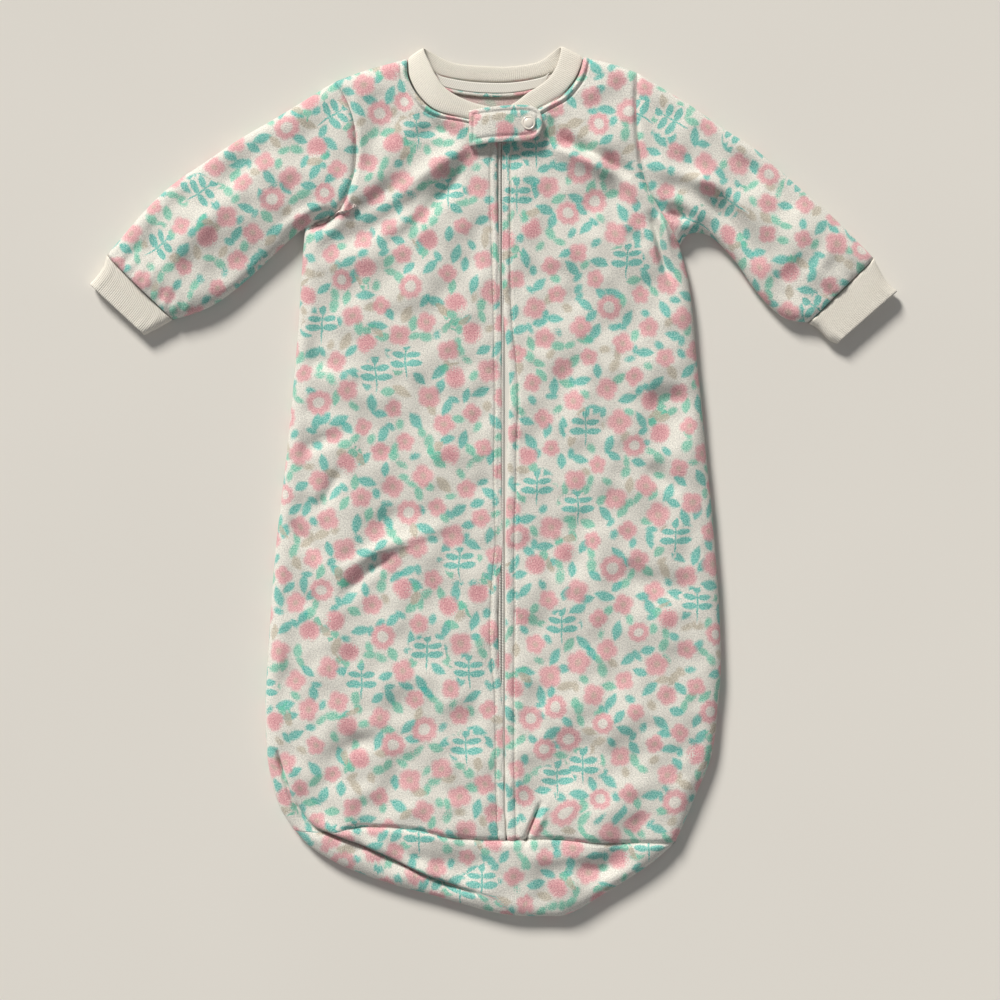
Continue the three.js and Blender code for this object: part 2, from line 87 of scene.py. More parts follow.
# how the slit over the zip gapes: height along the bag, then x of its left and right edges
SLIT = [
    (-273, 9.6, 10.2), (-228, 8.1, 8.9), (-185, 7.7, 8.6), (-158, 7.2, 8.4), (-147, 5.8, 8.6),
    (-126, 3.9, 8.8), (-110, 3.5, 9.0), (-92, 3.9, 9.1), (-71, 5.4, 9.0), (-46, 7.8, 8.9),
    (-28, 7.3, 9.2), (0, 6.5, 10.2), (28, 6.6, 10.4), (63, 7.0, 12.0), (96, 6.5, 10.4), (121, 6.3, 7.6),
    (156, 5.2, 6.2), (175, 4.7, 6.1), (197, 3.9, 6.3), (226, 3.1, 6.3), (268, 3.2, 6.6),
]
RIM = [(-152, -266), (-139, -279.5), (-115, -293.4), (-81, -306.2), (-44.5, -316.2), (4, -329.6),
       (38, -331.6), (60, -329), (95, -308), (121, -291), (139, -275)]
SHOULDER_LEFT = [(-120.5, 305), (-94, 315), (-66, 322.5)]
SHOULDER_RIGHT = [(109.5, 312), (90, 319), (69, 323.5)]
# stations down each sleeve: top edge, middle and underarm edge
SLEEVE_LEFT = [
    [(-150, 287.3), (-150, 240), (-150, 189)],
    [(-170, 275.3), (-163, 231), (-168, 172.5)], [(-194, 260.7), (-184, 212), (-183, 158.5)],
    [(-219, 244.5), (-206, 196), (-198, 145.5)], [(-243, 228), (-227, 180), (-212, 135.5)],
    [(-268, 204.5), (-249, 163), (-227, 128.5)], [(-295, 172.6), (-270, 148), (-244.6, 123.6)],
]
SLEEVE_RIGHT = [
    [(150, 287.3), (150, 238), (150, 189)],
    [(165, 276.6), (160, 229), (166, 186.5)], [(180.5, 266), (177, 215), (184, 168.5)],
    [(203, 251), (196, 200), (196.5, 150.5)], [(236.5, 221.5), (221, 176), (208, 136.5)],
    [(261, 200), (242, 160), (223, 124)], [(290.4, 170.6), (265.4, 146), (240.4, 121.2)],
]
CUFF_LEFT = [
    [(-295, 172.4), (-270, 147.8), (-245, 123.2)], [(-297.6, 164), (-274, 141.5), (-251.5, 119.4)],
    [(-302.4, 157), (-280.5, 135.8), (-259, 115.2)], [(-308.2, 150.5), (-287.3, 131.1), (-266.4, 111.7)],
]
CUFF_RIGHT = [
    [(290.5, 170.2), (265.6, 145.4), (240.6, 120.8)], [(295.2, 160.4), (272, 138.2), (247.5, 116.6)],
    [(300.6, 151.8), (278.2, 130.8), (255, 108.8)], [(308.2, 145.2), (285, 125), (262, 105)],
]
# along the neck band: seam edge x, y, z, then free edge x, y, z
NECK_BAND = [
    (4.2, 271.4, 15.3, 4.2, 282.4, 15.3), (-21, 276, 15.3, -18, 288, 15.6),
    (-42.5, 281.2, 15, -35, 297, 15), (-55.2, 291.8, 13.4, -43, 307, 13.6),
    (-63.4, 306.8, 10.5, -48.5, 318.5, 11), (-65, 321.5, 6.2, -53, 329.5, 7.5),
    (-58, 319.6, 2.6, -48, 328.2, 2.8), (-40, 310.6, 1.5, -30, 320.3, 1.5),
    (-16, 306.7, 1.5, -5, 317.7, 1.4), (12.5, 306.1, 1.5, 14, 317.6, 1.4),
    (39, 310.6, 1.5, 34, 321, 1.5), (60, 319.8, 2.6, 46, 328.9, 2.8),
    (67.8, 322.6, 6.2, 51.5, 330.4, 7.5), (62.9, 307.8, 10.5, 47.6, 315, 11),
    (52.2, 294.3, 13.4, 39, 303.5, 13.6), (38.4, 285.8, 15, 26, 294.5, 15),
    (24, 277.2, 15.3, 17, 287.5, 15.6), (7.8, 271.6, 15.3, 7.8, 282.6, 15.3),
]
# the neck tab: x, upper y, lower y and the height of its underside
TAB = [
    (-18.4, 280.4, 253.4, 16.9), (-12, 281.2, 254.1, 18.6), (-4, 282.2, 255.2, 20.3), (6, 283.2, 256, 20.6),
    (16, 283.9, 256.5, 20.3), (23, 284.1, 257, 19.6), (29, 283.3, 258, 19.5), (33, 281, 260.6, 19.5),
    (35.7, 277.6, 264, 19.5), (37, 273.4, 268.2, 19.5),
]
SNAP = (26.6, 270.2)

# folds laid in the cloth: points along it, half-width, height (negative is a valley)
FOLDS = [
    # left chest, pulled from the armpit up to the tab
    ([(-17, 252), (-30, 231), (-48, 207), (-66, 190), (-92, 176)], 6, -3.4),
    ([(-14, 256), (-42, 240), (-62, 224), (-84, 208)], 6, 2.4),
    ([(-112, 199), (-88, 216), (-70, 232)], 7, -2.6),
    ([(-60, 292), (-50, 276), (-34, 264)], 5, -2.0),
    ([(-126, 172), (-80, 199), (-22, 229)], 9, -3.0),
    ([(-132, 158), (-85, 184), (-35, 212)], 9, 1.9),
    ([(-138, 128), (-100, 150), (-58, 168)], 10, -1.9),
    ([(-92, 296), (-84, 270), (-96, 236)], 9, -2.0),
    ([(-60, 262), (-46, 266), (-26, 264)], 5, -1.6),
    # left side
    ([(-119, -69), (-88, -52.4), (-59, -42.6), (-32, -33)], 3.8, 2.7),
    ([(-118, -90), (-104, -77), (-90, -64), (-74, -55)], 4.4, -2.3),
    ([(-146, 22), (-132, 30), (-118, 32)], 5, -2.4),
    ([(-116, 8), (-126, -10), (-136, -22)], 5, -2.4),
    ([(-160, -28), (-144, -44), (-128, -64)], 5, -2.8),
    ([(-152, -80), (-138, -94), (-128, -98)], 6, -2.0),
    ([(-150, 101), (-136, 92), (-118, 86)], 6, -2.2),
    ([(-98, -42), (-78, -30), (-54, -24)], 8, -2.0),
    ([(-122, -208), (-106, -200), (-84, -196)], 8, -2.6),
    ([(-100, -160), (-70, -150), (-40, -148)], 10, 1.4),
    # right chest
    ([(45, 279), (50, 262), (64, 254), (88, 243), (108, 231)], 5, -4.2),
    ([(38, 254), (62, 246), (86, 234), (108, 218)], 5.5, 3.0),
    ([(88, 234), (96, 226), (103, 216)], 4, -1.6),
    ([(100, 189), (108, 185), (117, 180)], 5, -2.2),
    ([(120, 202), (125, 187), (129, 168), (137, 151)], 3.0, -5.2),
    ([(127.5, 204), (131, 187), (139, 168)], 3.2, 2.0),
    ([(131, 207), (141, 203), (151, 195)], 5.5, -5.4),
    ([(116, 12), (128, 2), (142, -10)], 6, -2.6),
    ([(150, 60), (136, 66), (118, 64)], 7, -1.8),
    ([(152, -90), (132, -78), (104, -76)], 8, -1.8),
    ([(90, 110), (70, 70), (64, 20)], 12, 1.3),
    ([(36, -244), (31, -256), (27, -265), (24, -276)], 1.5, -3.4),
    ([(40, -246), (36, -257), (31, -268)], 3, 1.4),
    # left sleeve, with the roll at the armpit
    ([(-147, 188), (-139, 194), (-131, 198.5), (-122, 202)], 4.8, -7.2),
    ([(-166, 186), (-150, 198), (-136, 207), (-120, 209)], 4, 2.2),
    ([(-138, 182), (-126, 188), (-114, 198)], 4, 1.6),
    ([(-156, 262), (-190, 238), (-228, 200)], 9, -1.7),
    ([(-176, 236), (-214, 202), (-240, 168)], 9, 1.5),
    ([(-262, 190), (-254, 172), (-240, 158)], 6, -1.7),
    # right sleeve
    ([(118, 238), (150, 230), (176, 220), (197, 196), (215, 160)], 5, 3.2),
    ([(124, 225), (150, 218), (175, 203), (194, 174)], 6, -2.8),
    ([(160, 262), (196, 238), (232, 202)], 9, -1.5),
    ([(196, 196), (214, 170), (226, 148)], 7, -1.7),
    ([(258, 184), (250, 166), (238, 152)], 6, 1.4),
    # base panel
    ([(-90, -284), (-50, -288), (-10, -298)], 8, -2.0),
    ([(40, -296), (80, -294), (112, -284)], 9, -1.8),
    ([(20, -286), (50, -284), (84, -284)], 6, 1.6),
]
# the crease at the lower left, where the front rolls over the rim
RIM_CREASE = [(-164, -206), (-158.5, -226), (-150, -246), (-138, -262), (-121, -269.5), (-100, -277.5),
              (-79, -287), (-58, -297), (-30, -308), (2, -316.5)]


# ---------------------------------------------------------------- curves and distances
def through(points, count):
    """A smooth curve through the points, as count places along it."""
    keys = np.array(points, float)
    ends = np.vstack([2 * keys[0] - keys[1], keys, 2 * keys[-1] - keys[-2]])
    t = np.linspace(0, len(keys) - 1, count)
    i = np.minimum(t.astype(int), len(keys) - 2)
    f = (t - i)[:, None]
    a, b, c, d = ends[i], ends[i + 1], ends[i + 2], ends[i + 3]
    return 0.5 * (2 * b + (c - a) * f + (2 * a - 5 * b + 4 * c - d) * f**2 + (3 * b - a - 3 * c + d) * f**3)


def spaced(points, shares):
    """The same curve with its places at the given shares of its length."""
    fine = through(points, 60 * len(points))
    length = np.concatenate([[0], np.cumsum(np.linalg.norm(np.diff(fine, axis=0), axis=1))])
    wanted = np.asarray(shares) * length[-1]
    return np.stack([np.interp(wanted, length, fine[:, k]) for k in range(fine.shape[1])], axis=1)


def evenly(points, count):
    """The same curve with its places evenly apart."""
    return spaced(points, np.linspace(0, 1, count))


def distance(x, y, line, along=False):
    """How far each place is from a line of points, and if asked how far along it, from 0 to 1."""
    places = np.stack([x.ravel(), y.ravel()], axis=1)
    best = np.full(len(places), 1e9)
    share = np.zeros(len(places))
    count = len(line) - 1
    for k, (a, b) in enumerate(zip(line[:-1], line[1:])):
        step = b - a
        t = np.clip(((places - a) @ step) / max(step @ step, 1e-9), 0, 1)
        gap = np.hypot(*(places - a - t[:, None] * step).T)
        nearer = gap < best
        best = np.where(nearer, gap, best)
        share = np.where(nearer, (k + t) / count, share)
    best, share = best.reshape(x.shape), share.reshape(x.shape)
    return (best, share) if along else best


def smooth(t):
    t = np.clip(t, 0, 1)
    return t * t * (3 - 2 * t)


def rounded(d, radius):
    """The height of a round edge, from 0 at the edge to 1 a radius in."""
    return np.sqrt(1 - (1 - np.clip(d / radius, 0, 1)) ** 2)


def closer_at_ends(count):
    """Shares from 0 to 1, closer together near both ends."""
    steps = np.linspace(0, 1, count)
    return 0.8 * (1 - np.cos(math.pi * steps)) / 2 + 0.2 * steps


# ---------------------------------------------------------------- the cloth's heights
def open_edges():
    """The outline the front and back share, left open at the neck and at both cuffs."""
    edges = [evenly(RIM, 120)]
    for side, armhole, sleeve, shoulder in ((SIDE_LEFT, ARMHOLE_LEFT, SLEEVE_LEFT, SHOULDER_LEFT),
                                            (SIDE_RIGHT, ARMHOLE_RIGHT, SLEEVE_RIGHT, SHOULDER_RIGHT)):
        underarm = [side[-1]] + [station[2] for station in sleeve]
        top = [armhole[-1]] + [station[0] for station in sleeve]
        edges += [evenly(side, 120), evenly(underarm, 60), evenly(top, 60), evenly(shoulder, 20)]
    return edges


CREASE = evenly(RIM_CREASE, 60)
EDGES = open_edges()
SEAMS = [  # curve, groove depth, groove half-width
    (evenly(ARMHOLE_LEFT, 40), 3.0, 2.2), (evenly(ARMHOLE_RIGHT, 40), 3.0, 2.2),
    (evenly(NECK_LEFT, 30), 1.4, 1.3), (evenly(NECK_RIGHT, 30), 1.4, 1.3),
]
BASE_LINE = evenly(BASE_SEAM, 80)


def swell(x, y, lengths, height, seed):
    """Soft uneven ground: many crossing waves between two lengths, which come to about the height."""
    random = np.random.default_rng(seed)
    total = np.zeros_like(x)
    count = 36
    for _ in range(count):
        size = random.uniform(*lengths)
        turn, phase = random.uniform(0, 2 * math.pi, 2)
        total += np.sin((x * math.cos(turn) + y * math.sin(turn)) * 2 * math.pi / size + phase)
    return height * total * math.sqrt(2 / count)


def fold_heights(x, y):
    """What all the folds together add to the front's height. Each one fades out at both of its ends."""
    total = np.zeros_like(x)
    for points, width, height in FOLDS:
        gap, share = distance(x, y, evenly(points, 12), along=True)
        ends = np.sin(np.pi * np.clip(share, 0.02, 0.98)) ** 0.6
        total += 1.6 * height * ends * np.exp(-((gap / width) ** 2))
    return total


def beyond_crease(x, y):
    """Distance from the crease, below zero on its outer side, and the share of the way along it."""
    gap, share = distance(x, y, CREASE, along=True)
    steps = np.linspace(0, 1, len(CREASE))
    outer = (x - np.interp(share, steps, CREASE[:, 0])) + (y - np.interp(share, steps, CREASE[:, 1])) < 0
    return np.where(outer, -gap, gap), share


def crease_height(x, y):
    """The front's rolled edge standing over the rim, and the dark gap under it."""
    gap, share = beyond_crease(x, y)
    depth = smooth(share * 12 + 0.3) * smooth((1 - share) * 5)
    inner = 1.8 * np.exp(-(((gap - 5) / 4) ** 2)) - 7.5 * np.exp(-((gap / 1.1) ** 2))
    strip = -2.4 * np.exp(-((gap / 7.0) ** 2)) - 5.5 * np.exp(-((gap / 1.5) ** 2))
    return depth * np.where(gap < 0, strip, inner)


def edge_gap(x, y):
    """Distance from the outline, counted from just inside it."""
    return np.maximum(np.minimum.reduce([distance(x, y, line) for line in EDGES]) - 0.15, 0)


def seam_height(x, y):
    """Height of the outer seams, which wander up and down a little."""
    return SEAM_HEIGHT + swell(x, y, (40, 90), 0.5, 2)


def front_height(x, y):
    """Height of the front's outer face."""
    gap = edge_gap(x, y)
    full = SLEEVE_HEIGHT + (BODY_HEIGHT - SLEEVE_HEIGHT) * smooth(gap / 55)
    loose = smooth(gap / 16)
    beside_zip = smooth((np.abs(x - ZIP_X) - 4) / 16)
    full = full + fold_heights(x, y) * loose * beside_zip
    full = full + swell(x, y, (34, 95), 1.15, 4) * loose * (0.3 + 0.7 * beside_zip)
    full = full + swell(x, y, (14, 30), 0.34, 9) * loose
    full = full + crease_height(x, y)
    for line, depth, width in SEAMS:
        full = full - depth * np.exp(-((distance(x, y, line) / width) ** 2))
    full = full - 2.6 * smooth((x + 121) / 14) * np.exp(-((distance(x, y, BASE_LINE) / 1.9) ** 2))
    full = np.maximum(full, LOWEST_FOLD)
    edge = seam_height(x, y)
    return edge + (full - edge) * rounded(gap, ROLL)


def back_height(x, y):
    """Height of the back's outer face, which lies on the floor except along its rolled edges."""
    return RESTING + (seam_height(x, y) - RESTING) * (1 - rounded(edge_gap(x, y), BACK_ROLL))


# ---------------------------------------------------------------- meshes
def mesh_piece(name, vertices, faces, material, corners=None):
    """A mesh from points in millimetres. corners gives each face's corners their places in the cloth, in
    millimetres, from which the cloth's pattern is drawn."""
    data = bpy.data.meshes.new(name)
    data.from_pydata([tuple(MM * c for c in v) for v in vertices], [], [tuple(f) for f in faces])
    if corners is not None:
        layer = data.uv_layers.new(name="weave")
        layer.data.foreach_set("uv", np.array([p for face in corners for p in face], float).ravel())
    data.polygons.foreach_set("use_smooth", [True] * len(data.polygons))
    data.materials.append(material)
    piece = bpy.data.objects.new(name, data)
    bpy.context.collection.objects.link(piece)
    return piece


def fix_normals(piece):
    work = bmesh.new()
    work.from_mesh(piece.data)
    bmesh.ops.recalc_face_normals(work, faces=work.faces)
    work.to_mesh(piece.data)
    work.free()


def lengths_along(points, axis):
    """Distance walked through a grid of points along one of its directions."""
    steps = np.linalg.norm(np.diff(points, axis=axis), axis=-1)
    start = np.zeros_like(np.take(steps, [0], axis=axis))
    return np.concatenate([start, np.cumsum(steps, axis=axis)], axis=axis)


def grid_faces(rows, columns, around=False):
    across = columns if around else columns - 1
    return [(i * columns + j, i * columns + (j + 1) % columns,
             (i + 1) * columns + (j + 1) % columns, (i + 1) * columns + j)
            for i in range(rows - 1) for j in range(across)]


def tube_faces(rings, sides, start=0):
    """Faces of a tube of rings of points, with both ends capped."""
    faces = [tuple(start + k for k in face) for face in grid_faces(rings, sides, around=True)]
    last = start + (rings - 1) * sides
    return faces + [tuple(range(start, start + sides))[::-1], tuple(range(last, last + sides))]


def tube_piece(name, rings, along, across, material):
    """A closed roll of cloth, from its rings of points. along and across are the lengths in the cloth from
    ring to ring and round one ring."""
    count, sides = rings.shape[:2]
    corners = [[(along[i], across[j]), (along[i], across[j + 1]),
                (along[i + 1], across[j + 1]), (along[i + 1], across[j])]
               for i in range(count - 1) for j in range(sides)]
    corners.append([(along[0], place) for place in across[:-1]][::-1])
    corners.append([(along[-1], place) for place in across[:-1]])
    piece = mesh_piece(name, rings.reshape(-1, 3), tube_faces(count, sides), material, corners)
    fix_normals(piece)
    return piece


def sheet_piece(name, points, weave, material, thickness=CLOTH, flip=False, around=False):
    """A sheet of cloth from a grid of points on its outer face. Its thickness is laid inside that face."""
    rows, columns = points.shape[:2]
    faces = grid_faces(rows, columns, around)
    weave_faces = grid_faces(rows, weave.shape[1])
    flat = weave.reshape(-1, 2)
    corners = [flat[list(face)] for face in weave_faces]
    if flip:
        faces = [f[::-1] for f in faces]
        corners = [c[::-1] for c in corners]
    piece = mesh_piece(name, points.reshape(-1, 3), faces, material, corners)
    piece.data.materials.append(FLEECE_INSIDE if material is FLEECE else material)
    solid = piece.modifiers.new("thickness", "SOLIDIFY")
    solid.material_offset = 1
    solid.thickness = thickness * MM
    solid.offset = -1
    solid.use_even_offset = False
    apply_modifiers(piece)
    return piece


def apply_modifiers(piece):
    bpy.context.view_layer.update()
    done = bpy.data.meshes.new_from_object(piece.evaluated_get(bpy.context.evaluated_depsgraph_get()))
    old = piece.data
    piece.modifiers.clear()
    piece.data = done
    bpy.data.meshes.remove(old)
    done.polygons.foreach_set("use_smooth", [True] * len(done.polygons))


def column_places(width, near, middle):
    """Places across a panel, close together by both edges and wider apart between them."""
    left = near[:, None] * np.ones_like(width)[None]
    right = width[None] - near[::-1, None]
    steps = np.linspace(0, 1, middle + 2)[1:-1, None]
    centre = near[-1] + steps * (width[None] - 2 * near[-1])
    return np.concatenate([left, centre, right]).T


NEAR_EDGE = np.array([0, 0.5, 1.0, 1.6, 2.4, 3.4, 4.4, 5.2, 5.9, 6.6, 7.3, 8.0, 8.7, 9.5, 10.6, 12, 14])


# ---------------------------------------------------------------- materials
def srgb(code):
    """A colour written as sRGB hex, as the linear numbers the shader takes."""
    parts = [int(code[k:k + 2], 16) / 255 for k in (1, 3, 5)]
    return tuple(p / 12.92 if p <= 0.04045 else ((p + 0.055) / 1.055) ** 2.4 for p in parts) + (1.0,)


def new_material(name):
    material = bpy.data.materials.new(name)
    material.use_nodes = True
    tree = material.node_tree
    tree.nodes.clear()
    return material, tree


def add(tree, kind, inputs=(), out=0, **settings):
    """Adds a node, sets it, fills its inputs with links or values, and gives back the output asked for, or
    all of them for None. inputs is a dict by name or number, or holds the first few in order."""
    node = tree.nodes.new("ShaderNode" + kind)
    for key, value in settings.items():
        setattr(node, key, value)
    for key, value in (inputs if isinstance(inputs, dict) else dict(enumerate(inputs))).items():
        if isinstance(value, bpy.types.NodeSocket):
            tree.links.new(value, node.inputs[key])
        else:
            node.inputs[key].default_value = value
    return node.outputs if out is None else node.outputs[out]


# colours of the print, as dyed on off-white fleece
GROUND = srgb("#F4F2EA")
PINK = srgb("#F7ACB6")
PINK_DEEP = srgb("#EE95A3")
TEAL = srgb("#3FC8BE")
MINT = srgb("#70D6BA")
BEIGE = srgb("#CFC5B2")
BLOOM_SPACING = 26.0         # millimetres between blooms
WAVE_OF_1_MM = 0.314         # scale of a wave texture whose bands are 1 mm apart
SPRIG_TURN = -0.42           # the rows of blooms run this much off straight, and sprigs are turned back
EIGHTH_TURN = 0.7854         # the small leaves' grid is turned this much more

# motifs as ovals ("o") and pointed leaves ("l"): middle x, y, turn, half-length, half-width, in millimetres
SPRIG_HALF = [("o", 6.2, -2.6, 0.1, 6.0, 2.7), ("o", 5.6, 4.4, 0.16, 5.2, 2.5),
              ("o", 0, 11.6, 1.57, 4.3, 2.8), ("o", 0, -2, 1.57, 12.0, 0.75)]
BLOSSOM_GREEN = [("o", 0, -9.6, 0, 3.8, 3.4), ("o", 0.9, -15.0, 1.5, 5.4, 0.75),
                 ("l", -6.2, -15.6, 0.5, 5.4, 2.9)]
BLOSSOM_BEIGE = [("o", -8.4, -8.2, -0.5, 6.0, 3.4)]
LONG_LEAF = [("l", 0, 0, 0, 8.0, 3.8)]
LEAF_PAIR = [("l", 2.0, 1.6, 0.75, 7.8, 3.5), ("o", -4.4, -1.8, -0.8, 4.4, 2.7)]
BEAN_PAIR = [("o", -2.8, -2.4, 0.5, 5.8, 3.7), ("o", 3.4, 3.6, 1.1, 5.2, 2.9)]
SMALL_OVAL = [("o", 0, 0, 0, 4.4, 3.0)]
SMALL_LEAF = [("l", 0, 0, 0, 6.3, 3.4)]
BLOSSOM = [("o", 0, 0, 0, 8.2, 7.9)]
# which motif stands at a place: the share of random numbers, from and to, that picks each
FOUR_PETALS, FIVE_PETALS, ANY_PETALS = (-0.1, 0.42), (0.42, 0.68), (-0.1, 0.68)
RINGS, BLOSSOMS, SPRIGS = (0.68, 0.76), (0.76, 0.89), (0.89, 1.1)
LONG_LEAVES, LEAF_PAIRS, BEAN_PAIRS = (0.0, 0.3), (0.3, 0.62), (0.62, 1.1)
SMALL_OVALS, SMALL_LEAVES = (0.08, 0.55), (0.55, 1.1)


def printed_fleece(name, ink, ground):
    """Polyester micro-fleece, brushed and then printed: a matt nap of fine fibres that catches light at
    grazing angles, with soft-edged motifs because the ink spreads along the fibres. ink is how much of it
    shows, since only a little comes through to the inside."""
    material, tree = new_material(name)

    def scatter(place, spacing, loose, turn, corner):
        """Motifs near the corners of a turned grid: this place measured from the nearest motif's middle,
        and three random numbers of that motif."""
        grid = add(tree, "Mapping", {0: place, 1: (*corner, 0), 2: (0, 0, turn)}, vector_type="POINT")
        cells = add(tree, "TexVoronoi", {"Vector": grid, "Scale": 1 / spacing, "Randomness": loose}, None,
                    voronoi_dimensions="2D")
        local = add(tree, "VectorMath", (grid, cells["Position"]), operation="SUBTRACT")
        return local, add(tree, "SeparateColor", (cells["Color"],), None)

    def turned(local, random):
        """Each motif turned its own way."""
        angle = add(tree, "Math", (random, 2 * math.pi), operation="MULTIPLY")
        return add(tree, "VectorRotate", {0: local, 3: angle}, rotation_type="Z_AXIS")

    def drawn(local, shapes):
        """0 at the middle of the nearest oval or leaf of a motif and 1 at its edge."""
        nearest = None
        for kind, x, y, turn, length, width in shapes:
            placed = add(tree, "Mapping", {0: local, 1: (x, y, 0), 2: (0, 0, turn), 3: (length, width, 1)},
                         vector_type="TEXTURE")
            if kind == "o":
                reach = add(tree, "VectorMath", (placed,), 1, operation="LENGTH")
            else:
                lx, ly, _ = add(tree, "SeparateXYZ", (placed,), None)
                square = add(tree, "Math", (lx, lx), operation="MULTIPLY")
                aside = add(tree, "Math", (ly,), operation="ABSOLUTE")
                reach = add(tree, "Math", (square, aside), operation="ADD")
            nearest = reach if nearest is None else add(tree, "Math", (nearest, reach), operation="MINIMUM")
        return nearest

    def flower(reach, angle, petals, deep, size, full_petals):
        """0 at the middle of an open flower and 1 at its edge, which goes in between its petals."""
        swing = add(tree, "Math", (angle, petals / 2), operation="MULTIPLY")
        petal = add(tree, "Math", (add(tree, "Math", (swing,), operation="COSINE"),), operation="ABSOLUTE")
        if full_petals:
            petal = add(tree, "Math", (petal,), operation="SQRT")
        outline = add(tree, "Math", (petal, deep, size), operation="MULTIPLY_ADD")
        return add(tree, "Math", (reach, outline), operation="DIVIDE")

    def motif(shape, full, gone, random, picked):
        """The ink of one motif, full up to one distance and gone at the next, where its random number is
        among those that pick it."""
        ink_here = add(tree, "MapRange", (shape, full, gone, 1.0, 0.0), interpolation_type="SMOOTHSTEP")
        above = add(tree, "Math", (random, picked[0]), operation="GREATER_THAN")
        below = add(tree, "Math", (random, picked[1]), operation="LESS_THAN")
        chosen = add(tree, "Math", (above, below), operation="MULTIPLY")
        return add(tree, "Math", (ink_here, chosen), operation="MULTIPLY")

    def together(*inks):
        """Motifs of one ink, which never overlap."""
        total = inks[0]
        for other in inks[1:]:
            total = add(tree, "Math", (total, other), operation="ADD")
        return total

    def print_over(cloth, colour, amount, *holding_back):
        """Ink printed over the cloth, held back by each of the further amounts."""
        for share in holding_back:
            amount = add(tree, "Math", (amount, share), operation="MULTIPLY")
        return add(tree, "Mix", {0: amount, 6: cloth, 7: colour}, 2, data_type="RGBA")

    def leaf_colour(random, mint_from, other_random, beige_from):
        """Teal leaves, with some in mint and a few in beige."""
        is_mint = add(tree, "Math", (random, mint_from), operation="GREATER_THAN")
        is_beige = add(tree, "Math", (other_random, beige_from), operation="GREATER_THAN")
        return print_over(print_over(TEAL, MINT, is_mint), BEIGE, is_beige)

    # the ink's edges waver by a millimetre or so, and every motif is a little out of true
    place = add(tree, "UVMap", uv_map="weave")
    inked = place
    for scale, reach in ((0.06, 2.6), (0.9, 1.5)):
        waver = add(tree, "TexNoise", {"Vector": place, "Scale": scale, "Detail": 1.0}, 1,
                    noise_dimensions="2D")
        shift = add(tree, "VectorMath", (waver, (0.5, 0.5, 0.5)), operation="SUBTRACT")
        shift = add(tree, "VectorMath", {0: shift, 3: reach}, operation="SCALE")
        inked = add(tree, "VectorMath", (inked, shift), operation="ADD")

    # the nap shows through the ink as pale flecks about 1 mm across
    fibre = add(tree, "TexNoise", {"Vector": place, "Scale": 0.95, "Detail": 3.0, "Roughness": 0.75},
                noise_dimensions="2D")
    take = add(tree, "MapRange", (fibre, 0.3, 0.72, ink, 0.5 * ink))

    # large leaves stand in the gaps between four blooms, small ones between two
    between_blooms = (20.5 * BLOOM_SPACING, 10.5 * BLOOM_SPACING)
    local, random = scatter(inked, BLOOM_SPACING, 0.3, SPRIG_TURN, between_blooms)
    way = turned(local, random[0])
    large = together(motif(drawn(way, LONG_LEAF), 0.62, 1.34, random[1], LONG_LEAVES),
                     motif(drawn(way, LEAF_PAIR), 0.62, 1.34, random[1], LEAF_PAIRS),
                     motif(drawn(way, BEAN_PAIR), 0.62, 1.3, random[1], BEAN_PAIRS))
    large_colour = leaf_colour(random[1], BEAN_PAIRS[0], random[2], 0.9)
    closer = BLOOM_SPACING / math.sqrt(2)
    local, random = scatter(inked, closer, 0.22, SPRIG_TURN + EIGHTH_TURN, (14.61 * closer, 29.31 * closer))
    way = turned(local, random[0])
    small = together(motif(drawn(way, SMALL_OVAL), 0.6, 1.34, random[1], SMALL_OVALS),
                     motif(drawn(way, SMALL_LEAF), 0.6, 1.34, random[1], SMALL_LEAVES))
    small_colour = leaf_colour(random[2], 0.55, random[2], 0.86)

    # blooms: open flowers, ring flowers, round blossoms on stems, and sprigs
    local, random = scatter(inked, BLOOM_SPACING, 0.3, SPRIG_TURN, (0.0, 0.0))
    which = random[1]
    way = turned(local, random[0])
    bx, by, _ = add(tree, "SeparateXYZ", (way,), None)
    size = add(tree, "Math", (random[2], 0.34, 0.93), operation="MULTIPLY_ADD")
    from_middle = add(tree, "VectorMath", (way,), 1, operation="LENGTH")
    reach = add(tree, "Math", (from_middle, size), operation="MULTIPLY")
    angle = add(tree, "Math", (by, bx), operation="ARCTAN2")
    pink = together(motif(flower(reach, angle, 4, 2.5, 6.3, True), 0.74, 1.22, which, FOUR_PETALS),
                    motif(flower(reach, angle, 5, 2.1, 6.4, True), 0.74, 1.22, which, FIVE_PETALS),
                    motif(flower(reach, angle, 9, 1.1, 8.9, False), 0.8, 1.18, which, RINGS),
                    motif(drawn(way, BLOSSOM), 0.76, 1.2, which, BLOSSOMS))
    ring_eye = motif(reach, 3.4, 5.6, which, RINGS)
    flower_eye = motif(reach, 0.8, 4.0, which, ANY_PETALS)
    green = motif(drawn(way, BLOSSOM_GREEN), 0.78, 1.2, which, BLOSSOMS)
    husk = motif(drawn(way, BLOSSOM_BEIGE), 0.78, 1.2, which, BLOSSOMS)

    # a sprig stands upright, the same to its left and right, with the ground round it kept clear of leaves
    upright = add(tree, "VectorRotate", {0: local, 3: -SPRIG_TURN}, rotation_type="Z_AXIS")
    sx, sy, _ = add(tree, "SeparateXYZ", (upright,), None)
    mirrored = add(tree, "CombineXYZ", (add(tree, "Math", (sx,), operation="ABSOLUTE"), sy))
    sprig = drawn(mirrored, SPRIG_HALF)
    sprig_ink = motif(sprig, 0.8, 1.18, which, SPRIGS)
    clear = add(tree, "Math", (1.0, motif(sprig, 1.5, 2.1, which, SPRIGS)), operation="SUBTRACT")

    cloth = print_over(ground, large_colour, large, clear, take)
    cloth = print_over(cloth, small_colour, small, clear, take)
    for colour, amount in ((BEIGE, husk), (MINT, green), (TEAL, sprig_ink)):
        cloth = print_over(cloth, colour, amount, take)
